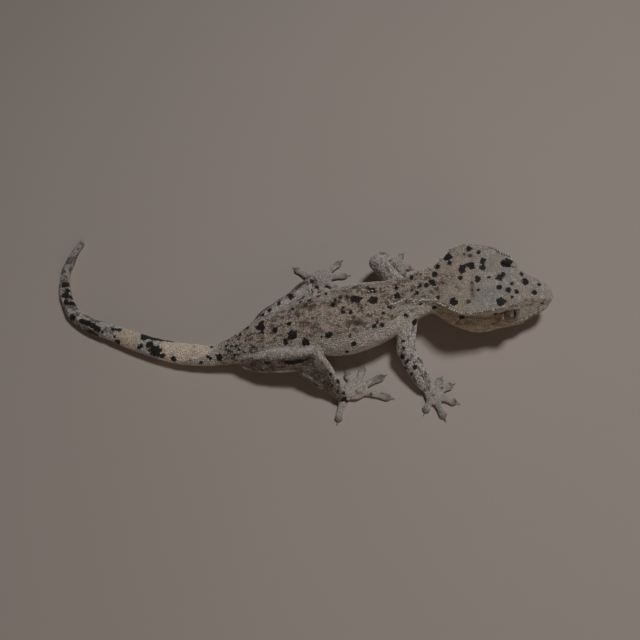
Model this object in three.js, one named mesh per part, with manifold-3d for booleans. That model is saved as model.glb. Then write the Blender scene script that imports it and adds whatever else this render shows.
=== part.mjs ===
// A young crested gecko at life size, standing flat on its four feet with its head held low
// and its tail laid on the floor in a hook. Millimetres: +X runs from the hips to the head,
// +Y is the animal's left, +Z is up, and the soles and the tail rest at Z = 0.
import * as THREE from 'three';
import { mergeVertices } from 'three/addons/utils/BufferGeometryUtils.js';
import Module from 'manifold-3d';

const wasm = await Module();
wasm.setup();

// Driving dimensions
const GAP = 0.3; // clearance between neighbouring solids
const STATION_CUT = 0.03; // half of a cut through the body, as a share of a station's length
const TAIL_ROUND = 0.25; // the tail tip's dome, as a share of a station's length
const DOME_TOP = 0.3; // the flat left on top of a rounded end, as a share of its radius
const CROWDING = 1.35; // how much closer the rings stand toward a rounded end
const HEAD_YAW = -12.5; // degrees, the head turned a little to its right
const HEAD_ORIGIN = new THREE.Vector3(17.6, -0.7, 0); // middle of the skull's widest line
const HEAD_BACK = -6; // the nape, along the head from its origin
const SNOUT_TIP = 20.1; // the snout's front, along the head from its origin
const SNOUT_ROUND = 1.7;
const EYE_RADIUS = 2.35;
const EYE_AT = { along: 9.6, side: 5.85, height: 9.2 };
const MOUTH = { corner: 2.6, cornerHeight: 5.7, frontHeight: 5.9 };
const JAW_BOX = { ahead: 4, wide: 30, deep: 12 }; // what is cut off under the mouth line
const ABOVE_FLOOR = { low: [-100, -60, 0], high: [60, 60, 40] };
const PALM_HEIGHT = 0.85;
const TOE_END_HEIGHT = 0.42;
const TOE_ROUND = 0.8;
const TOE_ARCH = 0.75; // height of a toe's middle
const CLAW = { radius: 0.2, length: 0.75, droop: 0.16, sides: 5, rings: 2 };

// The body's stations from the tail's tip to the skull: place of the centre, then the half
// width, the half height and how square the section is (2 is an ellipse).
const STATIONS = [
  { x: -68.8, y: 38.5, z: 0.8, wide: 0.75, high: 0.82, square: 2.0 },
  { x: -71.4, y: 33.6, z: 1.0, wide: 1.05, high: 1.02, square: 2.0 },
  { x: -72.9, y: 29.1, z: 1.12, wide: 1.2, high: 1.15, square: 2.0 },
  { x: -73.2, y: 24.5, z: 1.25, wide: 1.35, high: 1.28, square: 2.0 },
  { x: -72.5, y: 20.3, z: 1.38, wide: 1.45, high: 1.4, square: 2.0 },
  { x: -70.4, y: 15.4, z: 1.5, wide: 1.6, high: 1.53, square: 2.0 },
  { x: -66.2, y: 11.3, z: 1.68, wide: 1.8, high: 1.71, square: 2.0 },
  { x: -60.6, y: 7.7, z: 1.87, wide: 2.0, high: 1.9, square: 2.0 },
  { x: -54.8, y: 4.0, z: 2.05, wide: 2.2, high: 2.08, square: 2.0 },
  { x: -49.1, y: 0.8, z: 2.2, wide: 2.35, high: 2.23, square: 2.0 },
  { x: -43.5, y: -1.5, z: 2.4, wide: 2.5, high: 2.42, square: 2.0 },
  { x: -38.7, y: -2.8, z: 3.0, wide: 2.4, high: 2.45, square: 2.0 },
  { x: -34.0, y: -3.2, z: 4.0, wide: 2.9, high: 3.0, square: 2.05 },
  { x: -28.5, y: -2.9, z: 5.3, wide: 4.1, high: 3.9, square: 2.1 },
  { x: -22.0, y: -2.4, z: 6.2, wide: 5.3, high: 4.6, square: 2.2 },
  { x: -15.0, y: -2.2, z: 6.6, wide: 7.0, high: 5.1, square: 2.2 },
  { x: -8.0, y: -2.1, z: 6.8, wide: 8.0, high: 5.3, square: 2.2 },
  { x: -1.0, y: -1.5, z: 7.1, wide: 7.1, high: 5.0, square: 2.2 },
  { x: 5.0, y: -0.5, z: 7.7, wide: 5.3, high: 4.3, square: 2.2 },
  { x: 9.5, y: 0.3, z: 8.2, wide: 4.9, high: 3.8, square: 2.2 },
  { x: 13.5, y: 0.0, z: 8.4, wide: 5.2, high: 3.8, square: 2.2 },
  { x: 17.5, y: -0.8, z: 8.4, wide: 5.0, high: 3.8, square: 2.2 },
];

// The lengths of the body, by station, and the mesh of each.
const LENGTHS = {
  tail_tip: { from: 0, to: 4.2, sides: 10, rings: 12 },
  tail_middle: { from: 4.2, to: 7.7, sides: 12, rings: 10 },
  tail_base: { from: 7.7, to: 11.4, sides: 14, rings: 10 },
  hips: { from: 11.4, to: 14.6, sides: 20, rings: 8 },
  trunk: { from: 14.6, to: 18.3, sides: 22, rings: 8 },
  neck: { from: 18.3, to: 20.9, sides: 20, rings: 7 },
};

// The part of the body that each pair of legs is trimmed against.
const FLANKS = {
  front: { from: 15.5, to: 20.9, sides: 24, rings: 20 },
  hind: { from: 10.5, to: 17, sides: 24, rings: 24 },
};

// The head's outlines, each as pairs of a place along the head and a half width or height.
const HEAD_LINES = {
  crownHeight: [[-6, 11.6], [-2, 12.3], [3, 12.7], [8, 12.7], [11.5, 12], [15, 10.3], [19.8, 8]],
  crestWidth: [[-6, 5], [-1.5, 8.4], [0, 9], [6, 8.1], [11.2, 6.9], [13.2, 3.9], [15.2, 2.8], [19.8, 1.5]],
  crestHeight: [[-6, 11.2], [-1, 12.9], [6, 13.3], [10, 13.3], [11.6, 12.5], [13.4, 10.7], [19.8, 7.6]],
  templeWidth: [[-6, 4.9], [-3, 6.4], [0, 8], [4, 8], [9.5, 6.4], [13, 4.9], [15, 3.8], [19.8, 1.9]],
  templeHeight: [[-6, 9.5], [0, 10.6], [9.5, 10.4], [15, 8.1], [19.8, 6.7]],
  cheekWidth: [[-6, 5.1], [-3, 7], [0, 8.6], [3, 9], [7, 8.4], [12.5, 6.2], [15.5, 4.5], [19.8, 2.2]],
  cheekHeight: [[-6, 7.6], [8, 7.1], [15, 6.1], [19.8, 5.9]],
  jawWidth: [[-6, 4.2], [-3, 5.9], [0, 7.4], [3, 7.9], [10, 6.2], [16, 3.5], [19.8, 1.7]],
  jawHeight: [[-6, 5.3], [0, 5], [8, 4.6], [15, 4.4], [19.8, 5.1]],
  throatHeight: [[-6, 4.3], [0, 4], [8, 3.8], [15, 3.9], [19.8, 5]],
};
const BROW_BULGE = { along: 8, reach: 3, rise: 0.35 };
const CROWN_EDGE = 0.6; // where the crown turns up to the crest, as a share of the crest's width

// The legs: the joints' centres and the flesh's radii; toes are tips on the floor, from the
// innermost (first) to the outermost (fifth).
const LEGS = {
  front_right: {
    names: ['upper_arm', 'forearm', 'hand'],
    root: [5.4, -3.2, 7.2],
    bend: [2.9, -11.0, 4.8],
    ankle: [5.6, -18.7, 1.75],
    palm: [6.8, -20.5],
    toes: [[10.4, -16.1], [12.8, -18.6], [12.4, -23.9], [8.1, -27.4], [3.5, -25.0]],
  },
  front_left: {
    names: ['upper_arm', 'forearm', 'hand'],
    root: [5.2, 3.0, 7.6],
    bend: [1.6, 11.4, 6.7],
    ankle: [5.2, 14.0, 1.8],
    palm: [6.8, 14.6],
    toes: [[8.8, 9.6], [11.3, 11.7], [10.0, 17.8], [3.7, 19.4], [1.6, 16.6]],
  },
  hind_right: {
    names: ['thigh', 'shin', 'foot'],
    root: [-31.0, -6.7, 4.1],
    bend: [-17.5, -9.6, 6.9],
    ankle: [-12.6, -17.3, 1.9],
    palm: [-9.2, -16.2],
    heel: [-12.1, -17.8],
    toes: [[-10.7, -10.6], [-5.7, -10.0], [-1.1, -13.7], [-0.8, -20.0], [-14.7, -23.7]],
  },
  hind_left: {
    names: ['thigh', 'shin', 'foot'],
    root: [-29.0, 0.6, 4.6],
    bend: [-17.6, 6.6, 5.2],
    ankle: [-14.1, 12.9, 1.9],
    palm: [-11.4, 14.0],
    heel: [-13.6, 14.0],
    toes: [[-12.4, 8.6], [-7.4, 9.2], [-3.8, 13.5], [-4.9, 18.7], [-18.1, 19.3]],
  },
};
const FLESH = {
  upper_arm: [[0, 2.0], [0.5, 2.1], [1, 2.05]],
  forearm: [[0, 1.8], [0.35, 2.15], [0.8, 1.7], [1, 1.45]],
  thigh: [[0, 2.1], [0.5, 3.0], [1, 2.5]],
  shin: [[0, 2.2], [0.35, 2.5], [0.8, 1.65], [1, 1.4]],
  heel: [[0, 0.9], [1, 1.1]],
};
// The flesh behind the knee: shares of the ways from the knee to the hip and to the ankle.
const CALF = { from: [0.18, 0.3], to: [0.09, 0.59], radii: [[0, 2.2], [1, 1.9]] };
const PALM = { front: [2.1, 2.0, 1.0], hind: [2.8, 2.5, 1.0] };
const TOE_WIDTH = [[0, 1.25], [0.35, 0.9], [0.6, 0.8], [0.82, 1.0], [1, 0.62]];
const TOE_HEIGHT = [[0, 0.7], [0.4, 0.48], [0.85, 0.42], [1, 0.36]];

// Colours read off the animal: pale grey skin, pinker on the back, dark eye and claw.
const FINISH = {
  skin: { color: 0xb9ac9c, roughness: 0.85, metalness: 0 },
  eye: { color: 0x6d6459, roughness: 0.15, metalness: 0 },
  claw: { color: 0x57493c, roughness: 0.5, metalness: 0 },
};

// A smooth curve through pairs of numbers that never overshoots them.
function guide(pairs) {
  const last = pairs.length - 1;
  const slope = pairs.slice(1).map(([x, y], i) => (y - pairs[i][1]) / (x - pairs[i][0]));
  const tangent = pairs.map((_, i) => {
    if (i === 0) return slope[0];
    if (i === last) return slope[last - 1];
    const before = slope[i - 1];
    const after = slope[i];
    return before * after <= 0 ? 0 : (2 * before * after) / (before + after);
  });
  return (x) => {
    const at = THREE.MathUtils.clamp(x, pairs[0][0], pairs[last][0]);
    let i = 0;
    while (i < last - 1 && at > pairs[i + 1][0]) i += 1;
    const width = pairs[i + 1][0] - pairs[i][0];
    const t = (at - pairs[i][0]) / width;
    const rise = pairs[i + 1][1] - pairs[i][1];
    const bend = t * (1 - t) * width;
    const blend = t * t * (3 - 2 * t);
    return pairs[i][1] + blend * rise + bend * ((1 - t) * tangent[i] - t * tangent[i + 1]);
  };
}

// A closed tube: every vertex of a capped cylinder is moved by place(along 0..1, angle, out 0..1).
function tube(sides, rings, place) {
  const geometry = new THREE.CylinderGeometry(1, 1, 1, sides, rings);
  geometry.deleteAttribute('normal');
  geometry.deleteAttribute('uv');
  const merged = mergeVertices(geometry);
  const position = merged.getAttribute('position');
  for (let i = 0; i < position.count; i += 1) {
    const out = Math.hypot(position.getX(i), position.getZ(i));
    const angle = Math.atan2(position.getX(i), position.getZ(i));
    const point = place(position.getY(i) + 0.5, angle, Math.min(out, 1));
    position.setXYZ(i, point.x, point.y, point.z);
  }
  return merged;
}

// A geometry as a solid that can be cut and joined.
function toSolid(geometry) {
  const plain = geometry.clone();
  plain.deleteAttribute('normal');
  plain.deleteAttribute('uv');
  const merged = mergeVertices(plain);
  const vertProperties = new Float32Array(merged.getAttribute('position').array);
  const triVerts = new Uint32Array(merged.getIndex().array);
  return new wasm.Manifold(new wasm.Mesh({ numProp: 3, vertProperties, triVerts }));
}

// A solid back as a geometry.
function toGeometry(solid) {
  const mesh = solid.getMesh();
  const geometry = new THREE.BufferGeometry();
  geometry.setAttribute('position', new THREE.BufferAttribute(new Float32Array(mesh.vertProperties), 3));
  geometry.setIndex(new THREE.BufferAttribute(new Uint32Array(mesh.triVerts), 1));
  geometry.computeVertexNormals();
  return geometry;
}

// A box between two corners.
function boxBetween(low, high) {
  const geometry = new THREE.BoxGeometry(high[0] - low[0], high[1] - low[1], high[2] - low[2]);
  geometry.translate((low[0] + high[0]) / 2, (low[1] + high[1]) / 2, (low[2] + high[2]) / 2);
  return toSolid(geometry);
}

// One coordinate of a superellipse: a cosine or sine raised to its power, sign kept.
function squared(value, power) {
  return Math.sign(value) * Math.abs(value) ** (2 / power);
}

// A dome's radius, as a share of the full one, at a depth behind the dome's top.
function dome(depth, reach) {
  const t = THREE.MathUtils.clamp(1 - depth / reach, 0, 1);
  return Math.max(Math.sqrt(1 - t * t), DOME_TOP);
}

// A share of a length, crowded toward its end.
function crowd(share) {
  return 1 - (1 - share) ** CROWDING;
}

const spine = new THREE.CatmullRomCurve3(
  STATIONS.map((s) => new THREE.Vector3(s.x, s.y, s.z)), false, 'catmullrom', 0.5);
const girth = new THREE.CatmullRomCurve3(
  STATIONS.map((s) => new THREE.Vector3(s.wide, s.high, s.square)), false, 'catmullrom', 0.5);

// A point of the body's surface at a station, at an angle from the left side up over the back.
function bodyPoint(station, angle, out, grow) {
  const share = THREE.MathUtils.clamp(station / (STATIONS.length - 1), 0, 1);
  const centre = spine.getPoint(share);
  const ahead = spine.getTangent(share);
  const left = new THREE.Vector3(-ahead.y, ahead.x, 0).normalize();
  const up = new THREE.Vector3().crossVectors(ahead, left);
  const size = girth.getPoint(share);
  const tipRound = dome(station, TAIL_ROUND);
  const wide = (size.x * tipRound + grow) * squared(Math.cos(angle), size.z) * out;
  const high = (size.y * tipRound + grow) * squared(Math.sin(angle), size.z) * out;
  return centre.addScaledVector(left, wide).addScaledVector(up, high);
}

// A length of the body between two stations.
function bodyLength(from, to, sides, rings, grow = 0) {
  const reach = from - to;
  return toSolid(tube(sides, rings, (share, angle, out) => {
    const station = from === 0 ? to + reach * crowd(1 - share) : from - reach * share;
    return bodyPoint(station, angle, out, grow);
  }));
}

const headLine = Object.fromEntries(Object.entries(HEAD_LINES).map(([name, pairs]) => [name, guide(pairs)]));

// The head's section at a place along it: twelve points in a ring, joined by a smooth loop.
function headSection(along) {
  const bulge = BROW_BULGE.rise * Math.exp(-(((along - BROW_BULGE.along) / BROW_BULGE.reach) ** 2));
  const crown = headLine.crownHeight(along);
  const crest = headLine.crestHeight(along);
  const half = [
    [0, crown],
    [CROWN_EDGE * headLine.crestWidth(along), (crown + crest) / 2 + bulge],
    [headLine.crestWidth(along), crest],
    [headLine.templeWidth(along), headLine.templeHeight(along)],
    [headLine.cheekWidth(along), headLine.cheekHeight(along)],
    [headLine.jawWidth(along), headLine.jawHeight(along)],
    [0, headLine.throatHeight(along)],
  ];
  const mirrored = half.slice(1, 6).reverse().map(([y, z]) => [-y, z]);
  const ring = [...half, ...mirrored].map(([y, z]) => new THREE.Vector3(0, y, z));
  return new THREE.CatmullRomCurve3(ring, true, 'catmullrom', 0.5);
}

const headFrame = new THREE.Matrix4().makeRotationZ(THREE.MathUtils.degToRad(HEAD_YAW))
  .setPosition(HEAD_ORIGIN);

// The whole head as one solid, blunt and rounded at the snout.
function wholeHead(sides, rings, grow) {
  const length = SNOUT_TIP - HEAD_BACK;
  return toSolid(tube(sides, rings, (share, angle, out) => {
    const along = HEAD_BACK + length * crowd(share);
    const middle = (headLine.crownHeight(along) + headLine.throatHeight(along)) / 2;
    const turn = THREE.MathUtils.euclideanModulo(0.25 - angle / (2 * Math.PI), 1);
    const point = headSection(along).getPoint(turn);
    const round = dome(SNOUT_TIP - along, SNOUT_ROUND);
    const reach = Math.hypot(point.y, point.z - middle) || 1;
    const scale = out * round * (1 + grow / reach);
    const flesh = new THREE.Vector3(along, point.y * scale, middle + (point.z - middle) * scale);
    return flesh.applyMatrix4(headFrame);
  }));
}

// A place beside the head's middle plane, in the body's frame.
function headPlace(along, side, height) {
  return new THREE.Vector3(along, side, height).applyMatrix4(headFrame);
}

// A limb's segment between two joints, with rounded ends.
function segment(from, to, radii, sides, rings, grow = 0) {
  const start = new THREE.Vector3(...from);
  const end = new THREE.Vector3(...to);
  const axis = end.clone().sub(start);
  const length = axis.length();
  axis.normalize();
  const side = new THREE.Vector3(-axis.y, axis.x, 0).normalize();
  const up = new THREE.Vector3().crossVectors(axis, side);
  const radius = guide(radii);
  return toSolid(tube(sides, rings, (share, angle, out) => {
    const eased = (1 - Math.cos(Math.PI * share)) / 2;
    const full = radius(eased);
    const startCap = radius(0) + grow;
    const endCap = radius(1) + grow;
    const along = -startCap + (length + startCap + endCap) * eased;
    const round = Math.min(dome(along + startCap, startCap), dome(length + endCap - along, endCap));
    const wide = (full + grow) * round * out;
    return start.clone().addScaledVector(axis, along)
      .addScaledVector(side, wide * Math.cos(angle)).addScaledVector(up, wide * Math.sin(angle));
  }));
}

// A place between a leg's joints, as shares of the ways from the bend to the root and ankle.
function besideBend(leg, [toRoot, toAnkle]) {
  const bend = new THREE.Vector3(...leg.bend);
  const root = new THREE.Vector3(...leg.root).sub(bend);
  const ankle = new THREE.Vector3(...leg.ankle).sub(bend);
  return bend.addScaledVector(root, toRoot).addScaledVector(ankle, toAnkle).toArray();
}

// A toe from its root in the palm to its tip: slim, then a flat pad, with its sole on the floor.
function toe(root, tip, sides, rings) {
  const start = new THREE.Vector3(root[0], root[1], PALM_HEIGHT);
  const end = new THREE.Vector3(tip[0], tip[1], TOE_END_HEIGHT);
  const ahead = end.clone().sub(start).setZ(0).normalize();
  end.addScaledVector(ahead, -(CLAW.length + GAP));
  const side = new THREE.Vector3(-ahead.y, ahead.x, 0);
  const top = start.clone().lerp(end, 0.5).setZ(TOE_ARCH);
  const arch = new THREE.QuadraticBezierCurve3(start, top, end);
  const length = start.distanceTo(end);
  const width = guide(TOE_WIDTH);
  const height = guide(TOE_HEIGHT);
  return toSolid(tube(sides, rings, (share, angle, out) => {
    const along = crowd(share);
    const round = dome((1 - along) * length, TOE_ROUND);
    const point = arch.getPoint(along);
    point.addScaledVector(side, width(along) * round * out * Math.cos(angle));
    point.z += height(along) * round * out * Math.sin(angle);
    return point;
  }));
}

// A claw: a small cone bent down toward its point.
function clawGeometry() {
  const geometry = new THREE.ConeGeometry(CLAW.radius, CLAW.length, CLAW.sides, CLAW.rings);
  geometry.rotateZ(-Math.PI / 2);
  geometry.translate(CLAW.length / 2, 0, 0);
  const position = geometry.getAttribute('position');
  for (let i = 0; i < position.count; i += 1) {
    const share = position.getX(i) / CLAW.length;
    position.setZ(i, position.getZ(i) - CLAW.droop * share * share);
  }
  geometry.computeVertexNormals();
  return geometry;
}

const gecko = new THREE.Group();

// Adds a named mesh with its own material.
function addMesh(name, geometry, finish) {
  const mesh = new THREE.Mesh(geometry, new THREE.MeshStandardMaterial(finish));
  mesh.name = name;
  gecko.add(mesh);
  return mesh;
}

const aboveFloor = boxBetween(ABOVE_FLOOR.low, ABOVE_FLOOR.high);

// The head, the lower jaw under the mouth line and the two eyes.
function addHead() {
  const flesh = wholeHead(24, 20, 0);
  const drop = Math.atan2(MOUTH.frontHeight - MOUTH.cornerHeight, SNOUT_TIP - MOUTH.corner);
  const jawBox = (clearance) => {
    const size = SNOUT_TIP - MOUTH.corner + JAW_BOX.ahead;
    const geometry = new THREE.BoxGeometry(size + clearance, JAW_BOX.wide, JAW_BOX.deep);
    geometry.translate((size - clearance) / 2, 0, clearance - JAW_BOX.deep / 2);
    geometry.rotateY(-drop);
    geometry.translate(MOUTH.corner, 0, MOUTH.cornerHeight);
    geometry.applyMatrix4(headFrame);
    return toSolid(geometry);
  };
  let skull = flesh.subtract(jawBox(GAP / 2));
  for (const [name, side] of [['eye_left', 1], ['eye_right', -1]]) {
    const at = headPlace(EYE_AT.along, side * EYE_AT.side, EYE_AT.height);
    const socket = new THREE.SphereGeometry(EYE_RADIUS + GAP, 12, 8);
    socket.translate(at.x, at.y, at.z);
    skull = skull.subtract(toSolid(socket));
    const eye = addMesh(name, new THREE.SphereGeometry(EYE_RADIUS, 14, 8), FINISH.eye);
    eye.position.copy(at);
    eye.rotation.z = THREE.MathUtils.degToRad(HEAD_YAW);
  }
  addMesh('head', toGeometry(skull), FINISH.skin);
  addMesh('lower_jaw', toGeometry(flesh.intersect(jawBox(-GAP / 2))), FINISH.skin);
}

// The neck, trunk, hips and tail, parted by thin cuts.
function addBody() {
  for (const [name, { from, to, sides, rings }] of Object.entries(LENGTHS)) {
    const start = from === 0 ? from : from + STATION_CUT;
    let solid = bodyLength(start, to - STATION_CUT, sides, rings).intersect(aboveFloor);
    if (name === 'neck') solid = solid.subtract(wholeHead(24, 18, GAP));
    addMesh(name, toGeometry(solid), FINISH.skin);
  }
}

// One leg: two segments, then a palm with five toes, each toe ending in a claw.
function addLeg(place, leg, body) {
  const [upperName, lowerName, footName] = leg.names;
  const upper = segment(leg.root, leg.bend, FLESH[upperName], 10, 8);
  let lower = segment(leg.bend, leg.ankle, FLESH[lowerName], 10, 8);
  const upperGrown = segment(leg.root, leg.bend, FLESH[upperName], 10, 8, GAP);
  const lowerGrown = segment(leg.bend, leg.ankle, FLESH[lowerName], 10, 8, GAP);
  if (leg.heel) {
    const calf = [besideBend(leg, CALF.from), besideBend(leg, CALF.to)];
    lower = lower.add(segment(...calf, CALF.radii, 10, 6));
  }
  const half = PALM[place.split('_')[0]];
  const palmGeometry = new THREE.SphereGeometry(1, 10, 6);
  palmGeometry.scale(...half);
  palmGeometry.rotateZ(Math.atan2(leg.palm[1] - leg.ankle[1], leg.palm[0] - leg.ankle[0]));
  palmGeometry.translate(leg.palm[0], leg.palm[1], PALM_HEIGHT);
  let foot = toSolid(palmGeometry);
  if (leg.heel) {
    const sole = segment([...leg.heel, PALM_HEIGHT], [...leg.palm, PALM_HEIGHT], FLESH.heel, 8, 6);
    foot = foot.add(sole);
  }
  leg.toes.forEach((tip, i) => {
    const root = i === 4 && leg.heel ? leg.heel : leg.palm;
    foot = foot.add(toe(root, tip, 6, 6));
    const claw = addMesh(`claw_${place}_${i + 1}`, clawGeometry(), FINISH.claw);
    const turn = Math.atan2(tip[1] - root[1], tip[0] - root[0]);
    const back = new THREE.Vector2(Math.cos(turn), Math.sin(turn)).multiplyScalar(CLAW.length);
    claw.position.set(tip[0] - back.x, tip[1] - back.y, TOE_END_HEIGHT);
    claw.rotation.z = turn;
  });
  const upperSolid = upper.subtract(body);
  addMesh(`${upperName}_${place}`, toGeometry(upperSolid), FINISH.skin);
  const lowerSolid = lower.subtract(upperGrown).subtract(body).intersect(aboveFloor);
  addMesh(`${lowerName}_${place}`, toGeometry(lowerSolid), FINISH.skin);
  addMesh(`${footName}_${place}`, toGeometry(foot.subtract(lowerGrown).intersect(aboveFloor)), FINISH.skin);
}

addHead();
addBody();
for (const [place, leg] of Object.entries(LEGS)) {
  const { from, to, sides, rings } = FLANKS[place.split('_')[0]];
  addLeg(place, leg, bodyLength(from, to, sides, rings, GAP));
}

// The origin is the middle of the whole model's box, on the floor.
gecko.updateMatrixWorld(true);
const box = new THREE.Box3().setFromObject(gecko, true);
const middle = box.getCenter(new THREE.Vector3());
gecko.position.set(-middle.x, -middle.y, -box.min.z);

export default gecko;
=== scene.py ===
"""The looks of a young crested gecko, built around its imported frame.

One skin replaces every solid of flesh. Granular scales, plates on the lips, a fringe of crest
scales, two eyes and the claws sit on it. The forms are worked out in millimetres in the animal's
plan: +X runs toward the head, +Y is its left, +Z is up and the floor is at zero. Plan moves them
into the frame.
"""
import logging
import math
from dataclasses import dataclass, field
from enum import Enum, IntEnum
from typing import Callable, Sequence

import bmesh
import bpy
import numpy as np
from mathutils import Matrix, Vector, noise
from mathutils.bvhtree import BVHTree
from mathutils.kdtree import KDTree


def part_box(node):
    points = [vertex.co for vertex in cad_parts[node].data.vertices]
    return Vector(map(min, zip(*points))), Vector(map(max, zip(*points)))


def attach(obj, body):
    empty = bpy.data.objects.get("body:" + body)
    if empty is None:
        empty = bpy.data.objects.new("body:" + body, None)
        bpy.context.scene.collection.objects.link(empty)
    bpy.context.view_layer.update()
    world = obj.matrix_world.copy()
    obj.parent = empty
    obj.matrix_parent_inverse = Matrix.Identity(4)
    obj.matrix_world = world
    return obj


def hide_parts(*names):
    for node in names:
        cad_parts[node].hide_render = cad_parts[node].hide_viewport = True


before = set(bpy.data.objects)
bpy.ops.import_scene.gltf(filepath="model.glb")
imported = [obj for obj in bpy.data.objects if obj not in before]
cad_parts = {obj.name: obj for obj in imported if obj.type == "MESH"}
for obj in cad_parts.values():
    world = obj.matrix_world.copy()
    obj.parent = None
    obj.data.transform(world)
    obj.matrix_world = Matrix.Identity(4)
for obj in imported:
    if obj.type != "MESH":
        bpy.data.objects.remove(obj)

log = logging.getLogger("gecko")

Vec = np.ndarray
Pairs = Sequence[Sequence[float]]
Values = dict[str, np.ndarray]
Triple = tuple[float, float, float]
Colour = Triple
Spot = tuple[np.ndarray, np.ndarray, float]
Object = bpy.types.Object
Mesh = bpy.types.Mesh
Material = bpy.types.Material
Socket = bpy.types.NodeSocket

MM = 0.001
BODY_NAME = "root"
COAT_DEPTH = 0.12  # how far the skin lies inside the solids
PATCH = 0.003  # width of one scale's patch on the unwrap
TINY = 1e-9
GROUND = 0.02  # lowest height of the skin


class Part(IntEnum):
    """What a point of the surface belongs to."""

    BODY = 0
    HEAD = 1
    UPPER = 2
    LOWER = 3
    FOOT = 4
    TOE = 5


class CoatPiece(Enum):
    """The pieces that the scales are joined into."""

    HEAD = "scales_head"
    NECK = "scales_neck"
    TRUNK = "scales_trunk"
    TAIL = "scales_tail"
    LEGS = "scales_legs"
    FEET = "scales_feet"


def smooth(value: Vec, low: float, high: float) -> Vec:
    """Rises smoothly from 0 at low to 1 at high.

    Args:
        value: the numbers to map.
        low: where the rise starts; it may be above high, which makes a fall.
        high: where the rise ends.

    Returns:
        Numbers from 0 to 1.
    """
    share = np.clip((value - low) / (high - low), 0.0, 1.0)
    return share * share * (3.0 - 2.0 * share)


def bump(value: Vec, middle: float, reach: float) -> Vec:
    """A bell of height 1 around middle."""
    return np.exp(-(((value - middle) / reach) ** 2))


def unit(vectors: Vec) -> Vec:
    """The vectors at length 1."""
    return vectors / np.maximum(np.linalg.norm(vectors, axis=-1, keepdims=True), 1e-12)


def squared(value: Vec, power: Vec) -> Vec:
    """One coordinate of a superellipse: a cosine or sine raised to its power, sign kept."""
    return np.sign(value) * np.abs(value) ** (2.0 / power)


def dome(depth: Vec, reach: float) -> Vec:
    """A dome's radius, as a share of the full one, at a depth behind its top."""
    share = np.clip(1.0 - depth / reach, 0.0, 1.0)
    return np.maximum(np.sqrt(1.0 - share * share), 0.05)


def guide(pairs: Pairs) -> Callable[[Vec], Vec]:
    """A smooth curve through pairs of numbers that never overshoots them.

    Args:
        pairs: places and values, in rising places.

    Returns:
        A function of the place.
    """
    x, y = np.array(pairs, float).T
    slope = np.diff(y) / np.diff(x)
    inner = np.where(slope[:-1] * slope[1:] <= 0, 0.0, 1.0)
    total = np.where(inner > 0, slope[:-1] + slope[1:], 1.0)
    tangent = np.concatenate([slope[:1], inner * 2 * slope[:-1] * slope[1:] / total, slope[-1:]])

    def value(place: Vec) -> Vec:
        """The curve's value at a place."""
        at = np.clip(place, x[0], x[-1])
        i = np.clip(np.searchsorted(x, at, side="left") - 1, 0, len(x) - 2)
        width = x[i + 1] - x[i]
        t = (at - x[i]) / width
        bend = t * (1 - t) * width * ((1 - t) * tangent[i] - t * tangent[i + 1])
        return y[i] + t * t * (3 - 2 * t) * (y[i + 1] - y[i]) + bend

    return value


def catmull(points: Vec, place: Vec, closed: bool = False) -> Vec:
    """A uniform Catmull-Rom curve.

    Args:
        points: the curve's points, shaped (..., count, size).
        place: places along it, counted in points.
        closed: whether the curve is a loop.

    Returns:
        The curve's points at the places, shaped (..., places, size).
    """
    count = points.shape[-2]
    if closed:
        base = np.floor(place).astype(int)
        p0, p1, p2, p3 = (points[..., (base + k) % count, :] for k in (-1, 0, 1, 2))
    else:
        first = 2 * points[..., :1, :] - points[..., 1:2, :]
        last = 2 * points[..., -1:, :] - points[..., -2:-1, :]
        longer = np.concatenate([first, points, last], axis=-2)
        base = np.clip(np.floor(place).astype(int), 0, count - 2)
        p0, p1, p2, p3 = (longer[..., base + k, :] for k in range(4))
    t = (place - base)[:, None]
    leave = 0.5 * (p2 - p0)
    arrive = 0.5 * (p3 - p1)
    square = 3 * (p2 - p1) - 2 * leave - arrive
    cube = 2 * (p1 - p2) + leave + arrive
    return p1 + t * leave + t * t * square + t**3 * cube


def around(sides: int) -> Vec:
    """Evenly spaced angles around a ring."""
    return np.linspace(-math.pi, math.pi, sides, endpoint=False)


def wobble(points: Vec, pitch: float, shift: float = 0.0) -> Vec:
    """Smooth noise from -1 to 1 at each point; a larger pitch makes it finer."""
    return np.array([noise.noise(Vector(p * pitch + shift)) for p in points])


def indexed(points: Vec, ids: Sequence[int]) -> KDTree:
    """A search tree of some of the points, under their own numbers.

    Args:
        points: the points.
        ids: the numbers to take.

    Returns:
        The tree.
    """
    tree = KDTree(len(ids))
    for i in ids:
        tree.insert(points[i], int(i))
    tree.balance()
    return tree


def from_line(points: Vec, start: Vec, end: Vec) -> Vec:
    """The way from a line's nearest place to each point.

    Args:
        points: the points.
        start: the line's start.
        end: its end.

    Returns:
        One way for each point.
    """
    line = end - start
    span = max(float(line @ line), TINY)
    share = np.clip((points - start) @ line / span, 0, 1)
    return points - start - share[:, None] * line


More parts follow.
